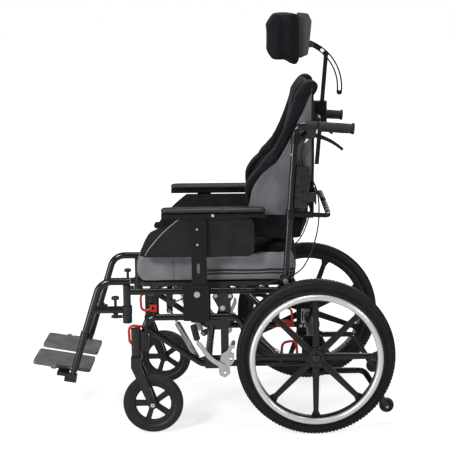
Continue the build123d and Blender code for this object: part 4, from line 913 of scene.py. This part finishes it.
@dataclass(frozen=True)
class Tread:
    """What dresses a rear wheel: the blocks and sidewall rings of its tyre, and the handrim's skin."""

    side: int
    count: int = 132
    radius: float = 0.26
    rim_radius: float = 0.209
    rim_tube: float = 0.0097

    def build(self, wardrobe: Wardrobe) -> None:
        """Builds one mesh with every block of the tyre, then the rings and the skin."""
        name = dict(SIDES)[self.side]
        axle = Vector((0, self.side, 0))
        rows = ((-0.0075, 0.0042, self.radius), (0.0075, 0.0042, self.radius),
                (0.0, 0.0022, self.radius + 0.001))
        place = WHEEL_CENTRE + axle * WHEEL_Y
        work = bmesh.new()
        for index in range(self.count):
            turn = math.tau * index / self.count
            for row, (middle, across, radius) in enumerate(rows):
                shift = (row - 0.5) * math.tau / self.count * 0.5
                made = bmesh.ops.create_cube(work, size=1.0)["verts"]
                bmesh.ops.scale(work, verts=made, vec=(0.0026, across * 2, 0.0078))
                spin = Matrix.Rotation(-(turn + shift), 4, "Y")
                move = Matrix.Translation(place) @ spin @ Matrix.Translation((radius, middle, 0))
                bmesh.ops.transform(work, matrix=move, verts=made)
        for ring, (radius, across) in enumerate(((0.2338, 0.0139), (0.2515, 0.0165))):
            profile = [(-0.003, radius + 0.0016), (0.0005, radius + 0.0016), (0.0014, radius + 0.0008),
                       (0.0014, radius - 0.0008), (0.0005, radius - 0.0016), (-0.003, radius - 0.0016)]
            base = WHEEL_CENTRE + axle * (WHEEL_Y + across)
            piece = lathe(f"{name}_tyre_ring_{ring}", profile, base, axle, 96, ring=True)
            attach(wardrobe.dress(piece, RUBBER), name + "_wheel")
        skin = [(self.rim_tube * math.sin(turn), self.rim_radius + self.rim_tube * math.cos(turn))
                for turn in (math.tau * step / 20 for step in range(20))]
        place = WHEEL_CENTRE + axle * HANDRIM_Y
        piece = lathe(f"{name}_handrim_skin", skin, place, axle, 160, ring=True)
        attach(wardrobe.dress(piece, ALUMINIUM), name + "_wheel")
        mesh = bpy.data.meshes.new(name + "_tread")
        work.to_mesh(mesh)
        work.free()
        piece = wardrobe.dress(fresh(name + "_tread", mesh), RUBBER)
        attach(piece, name + "_wheel")


@dataclass(frozen=True)
class Studio:
    """The floor, lights and camera."""

    camera_place: Point = (0.127561, -3.79999, 1.41428)
    yaw: float = math.radians(1.1)
    pitch: float = math.radians(9.075)
    roll: float = math.radians(-0.418)
    lens: float = 89.07
    shift: tuple[float, float] = (-0.1, -0.1)

    def build(self) -> None:
        """Builds the whole set."""
        self.floor()
        self.lights()
        self.world()
        self.camera()

    @staticmethod
    def floor() -> None:
        """A plain pale floor under the wheels."""
        work = bmesh.new()
        bmesh.ops.create_grid(work, x_segments=2, y_segments=2, size=40.0)
        bmesh.ops.translate(work, verts=work.verts, vec=(0, 0, -0.001))
        mesh = bpy.data.meshes.new("studio_floor")
        work.to_mesh(mesh)
        work.free()
        floor = fresh("studio_floor", mesh)
        material = bpy.data.materials.new("studio_floor")
        material.use_nodes = True
        material.node_tree.nodes.clear()
        g = Graph(material.node_tree)
        tone = g.step(g.noise(g.place(), 3.0), 0.2, 0.8, 0.5, 0.52)
        seen = g.add("ShaderNodeLightPath").outputs["Is Camera Ray"]
        away = g.add("ShaderNodeVectorMath", {0: g.place()}, operation="LENGTH").outputs["Value"]
        glow = g.times(g.step(away, 1.2, 3.6, 0.74, 1.1), g.step(seen, 0.0, 1.0, 0.12, 1.0))
        shader = g.add("ShaderNodeBsdfPrincipled", {
            "Base Color": g.scaled(WHITE, tone), "Roughness": 0.9, "Specular IOR Level": 0.1,
            "Emission Color": WHITE, "Emission Strength": glow})
        g.add("ShaderNodeOutputMaterial", {"Surface": shader.outputs[0]})
        mesh.materials.append(material)
        floor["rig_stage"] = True

    @staticmethod
    def lights() -> None:
        """Soft lamps aimed at the seat: each one's place and size in metres, and its power in watts."""
        lamps = (
            ("key", (-2.2, -2.9, 2.9), 0.9, 95.0), ("fill", (-3.0, -2.0, 0.7), 1.2, 34.0),
            ("side", (3.0, -2.3, 1.9), 0.8, 34.0), ("top", (0.0, 0.0, 3.4), 1.0, 40.0),
            ("rear", (1.4, 3.0, 2.4), 1.2, 38.0))
        for name, place, size, power in lamps:
            data = bpy.data.lights.new("studio_" + name, "AREA")
            data.size = size
            data.energy = power
            lamp = fresh("studio_" + name, data)
            lamp.location = place
            aim = Vector((0, 0, 0.6)) - Vector(place)
            lamp.rotation_euler = aim.to_track_quat("-Z", "Y").to_euler()

    @staticmethod
    def world() -> None:
        """White behind the chair, and a softer light on it."""
        world = bpy.data.worlds.new("studio")
        bpy.context.scene.world = world
        world.use_nodes = True
        world.node_tree.nodes.clear()
        g = Graph(world.node_tree)
        path = g.add("ShaderNodeLightPath").outputs
        seen = g.math("MAXIMUM", path["Is Camera Ray"], path["Is Transmission Ray"])
        plain, soft = (g.add("ShaderNodeBackground", {"Color": colour, "Strength": strength}).outputs[0]
                       for colour, strength in ((WHITE, 1.0), ((0.95, 0.97, 1.0), 0.16)))
        mix = g.add("ShaderNodeMixShader", {0: seen, 1: soft, 2: plain})
        g.add("ShaderNodeOutputWorld", {"Surface": mix.outputs[0]})

    def camera(self) -> None:
        """The camera at the photograph's place."""
        data = bpy.data.cameras.new("studio_camera")
        data.lens = self.lens
        data.sensor_width = 36.0
        data.shift_x, data.shift_y = self.shift
        camera = fresh("studio_camera", data)
        level = math.cos(self.pitch)
        ahead = Vector((math.sin(self.yaw) * level, math.cos(self.yaw) * level, -math.sin(self.pitch)))
        right = Vector((math.cos(self.yaw), -math.sin(self.yaw), 0.0))
        up = right.cross(ahead)
        across = right * math.cos(self.roll) + up * math.sin(self.roll)
        above = up * math.cos(self.roll) - right * math.sin(self.roll)
        turn = Matrix((across, above, -ahead)).transposed().to_4x4()
        camera.matrix_world = Matrix.Translation(self.camera_place) @ turn
        bpy.context.scene.camera = camera
        bpy.context.scene.view_settings.view_transform = "Standard"


def seam(value: float, middle: float, reach: float) -> float:
    """Falls from 1 on a seam's line to 0 at its reach."""
    return max(0.0, 1.0 - abs(value - middle) / reach)


def seat_seams(co: Vector) -> float:
    """How firmly the seat cushion's cover is held at a point: along its seams and its base."""
    x, y, z = in_mm(co)
    base = 1.0 if z < 503 else 0.0
    if y < HIP_Y - 14:
        return base
    rear = seam(z, 531, 4.0) if x > -366 else 0.0
    return max(base, seam(z, 588, 5.0), rear, seam(x, -462, 4.0) * 0.7)


def seat_mask(g: Graph) -> Socket:
    """Black on top and at the foot, with two dark bands along the rear of the grey side."""
    x, y, z = g.split(g.place())
    wave = g.times(g.minus(g.noise(g.place(), 9.0), 0.5), 0.012)
    height = g.plus(z, wave)
    rise = g.step(x, frame_x(-330), frame_x(-230), 0.0, 0.011)
    top = g.step(g.minus(height, rise), 0.5855, 0.5875)
    inboard = g.step(g.math("ABSOLUTE", y), 0.1875, 0.1865)
    foot = g.step(height, 0.502, 0.5005)
    bands = g.plus(g.line(height, 0.5378, 0.0046, 0.0034), g.line(height, 0.5268, 0.0036, 0.0026))
    bands = g.times(bands, g.step(x, frame_x(-372), frame_x(-352)))
    front = g.step(x, frame_x(-560), frame_x(-580))
    cover = g.math("MAXIMUM", top, g.times(inboard, g.minus(1.0, front)))
    crease = g.times(g.line(g.plus(x, wave), frame_x(-468), 0.0024, 0.0008), 0.3)
    return g.math("MAXIMUM", g.math("MAXIMUM", cover, foot),
                  g.math("MAXIMUM", crease, g.times(bands, 0.85)))


def back_mask(g: Graph) -> Socket:
    """Black across the front and low on the sides, grey mesh on the side panels."""
    x, y, z = g.split(g.place())
    low = g.step(z, 0.7235, 0.7225)
    inboard = g.step(g.math("ABSOLUTE", y), 0.189, 0.188)
    return g.math("MAXIMUM", low, g.times(inboard, g.step(x, frame_x(-16), frame_x(-18))))


def back_seams(co: Vector) -> float:
    """How firmly the back's cover is held at a point: along its rear edge and the low seam."""
    x, y, z = in_mm(co)
    return max(seam(z, 723, 5.0) if y > 150 else 0.0, 1.0 if x > -12 else 0.0)


# Pairs of height and distance, in mm: how far the bolster's front edge goes back, how far its
# rear edge does, and where that rear edge is.
BOLSTER_SLACK = ((780, 0), (817, 8), (846, 24), (876, 45), (906, 48), (935, 44), (994, 38), (1053, 32),
                 (1083, 29), (1112, 26), (1141, 28), (1160, 28), (1175, 20), (1190, 14), (1200, 14))
BOLSTER_ROLL = ((1060, 0), (1086, 2), (1112, 7), (1141, 15), (1160, 18), (1176, 18), (1200, 14))
BOLSTER_REAR = ((740, -219), (824, -196), (895, -128), (952, -92), (1017, -61), (1092, -24), (1150, -4),
                (1176, -7), (1190, -20), (1200, -20))
HEAD_MIDDLE = 1290  # the height of the headrest's middle, mm


def along(table: Sequence[tuple[float, float]], value: float) -> float:
    """Reads a value from a table of pairs, on straight runs between them."""
    for (a, low), (b, high) in zip(table, table[1:]):
        if value <= b:
            return low + (high - low) * max(0.0, (value - a) / (b - a))
    return table[-1][1]


def slim_bolster(co: Vector) -> Vector:
    """Draws the bolster's front edge back, and rolls its top down and over to the rear."""
    x, _, z = in_mm(co)
    share = ramp(along(BOLSTER_REAR, z), x, 70.0)
    drop = max(0.0, z - 1100) * 0.25
    shift = along(BOLSTER_SLACK, z) * share + along(BOLSTER_ROLL, z) * (1.0 - share)
    return Vector((co.x + shift / 1000, co.y, co.z - drop / 1000))


def fill_head(co: Vector) -> Vector:
    """Fills the front corners of the headrest, seen from the side."""
    x, _, z = in_mm(co)
    above = z - HEAD_MIDDLE
    share = 0.006 * ramp(-100, x, 52.0) * ramp(abs(above), 25, 70.0)
    sink = 0.004 * ramp(z, 1330, 45.0)
    return Vector((co.x - share, co.y, co.z + math.copysign(share, above) * 0.6 - sink))


def bolster_seams(co: Vector) -> float:
    """The bolster's cover is held along the rear edge, where it meets the grey panel."""
    return 1.0 if in_mm(co)[0] > -12 and co.z < 1.08 else 0.0


def raise_front(co: Vector) -> Vector:
    """Lifts the top of the seat cushion behind its nose, and draws the nose out square."""
    x, _, z = in_mm(co)
    ahead, high, nose = ramp(-440, x, 90.0), ramp(z, 540, 45.0), ramp(-555, x, 30.0)
    share = ahead * ahead * (3 - 2 * ahead) * high
    return Vector((co.x - 0.004 * nose * high, co.y, co.z + share * (0.021 + 0.006 * nose)))


def head_seams(co: Vector) -> float:
    """The headrest's cover is held where it meets the shell."""
    return 1.0 if in_mm(co)[0] > -20 else 0.0


def arm_seams(co: Vector) -> float:
    """The arm pad is flat on its rail."""
    return 1.0 if co.z * 1000 < 746 else 0.0


ARM_PAD = Cushion("right_armrest_pad", "right_arm", PAD_SKIN, arm_seams, voxel=0.004, cap=0.0012,
                  shrink=0.0004, fold=0.0001, fill=0.9)
CUSHIONS = (
    # The seat's cover takes the spacer mesh painted lighter, as painted light for its brighter side.
    Cushion("seat_cushion", "seat", SEAT_SPACER_PAINTED_LIGHT, seat_seams, cap=0.007, fold=0.0022, mask=seat_mask,
            shape=raise_front),
    Cushion("back_cushion", "back", SPACER, back_seams, cap=0.005, fold=0.0016, mask=back_mask),
    Cushion("back_bolsters", "back", COVER, bolster_seams, fold=0.0008, shape=slim_bolster, rounds=14),
    Cushion("headrest_pad", "headrest", COVER, head_seams, voxel=0.004, cap=0.004, fold=0.0006, fill=0.8,
            shape=fill_head, rounds=14),
    ARM_PAD,
    replace(ARM_PAD, node="left_armrest_pad", body="left_arm"),
)


def note_size(end: object) -> None:
    """Takes the dressed chair's box and does nothing with it."""
    def plain(box: object) -> list:
        return [[float(c) for c in corner] for corner in box]


def main() -> None:
    """Loads the frame, dresses it and builds the studio."""
    logging.basicConfig(level=logging.INFO)
    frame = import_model()
    nodes = frame["nodes"]
    Studio().build()
    wardrobe = Wardrobe()
    Cables().build(wardrobe)
    for paint in PAINTS:
        paint.apply(wardrobe, nodes)
    Trim().build(wardrobe)
    for side, _ in SIDES:
        Tread(side).build(wardrobe)
    for cushion in CUSHIONS:
        piece = cushion.build(wardrobe, nodes)
        LOG.info("%s has %d faces", piece.name, len(piece.data.polygons))
    note_size(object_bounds())


if __name__ == "__main__":
    main()
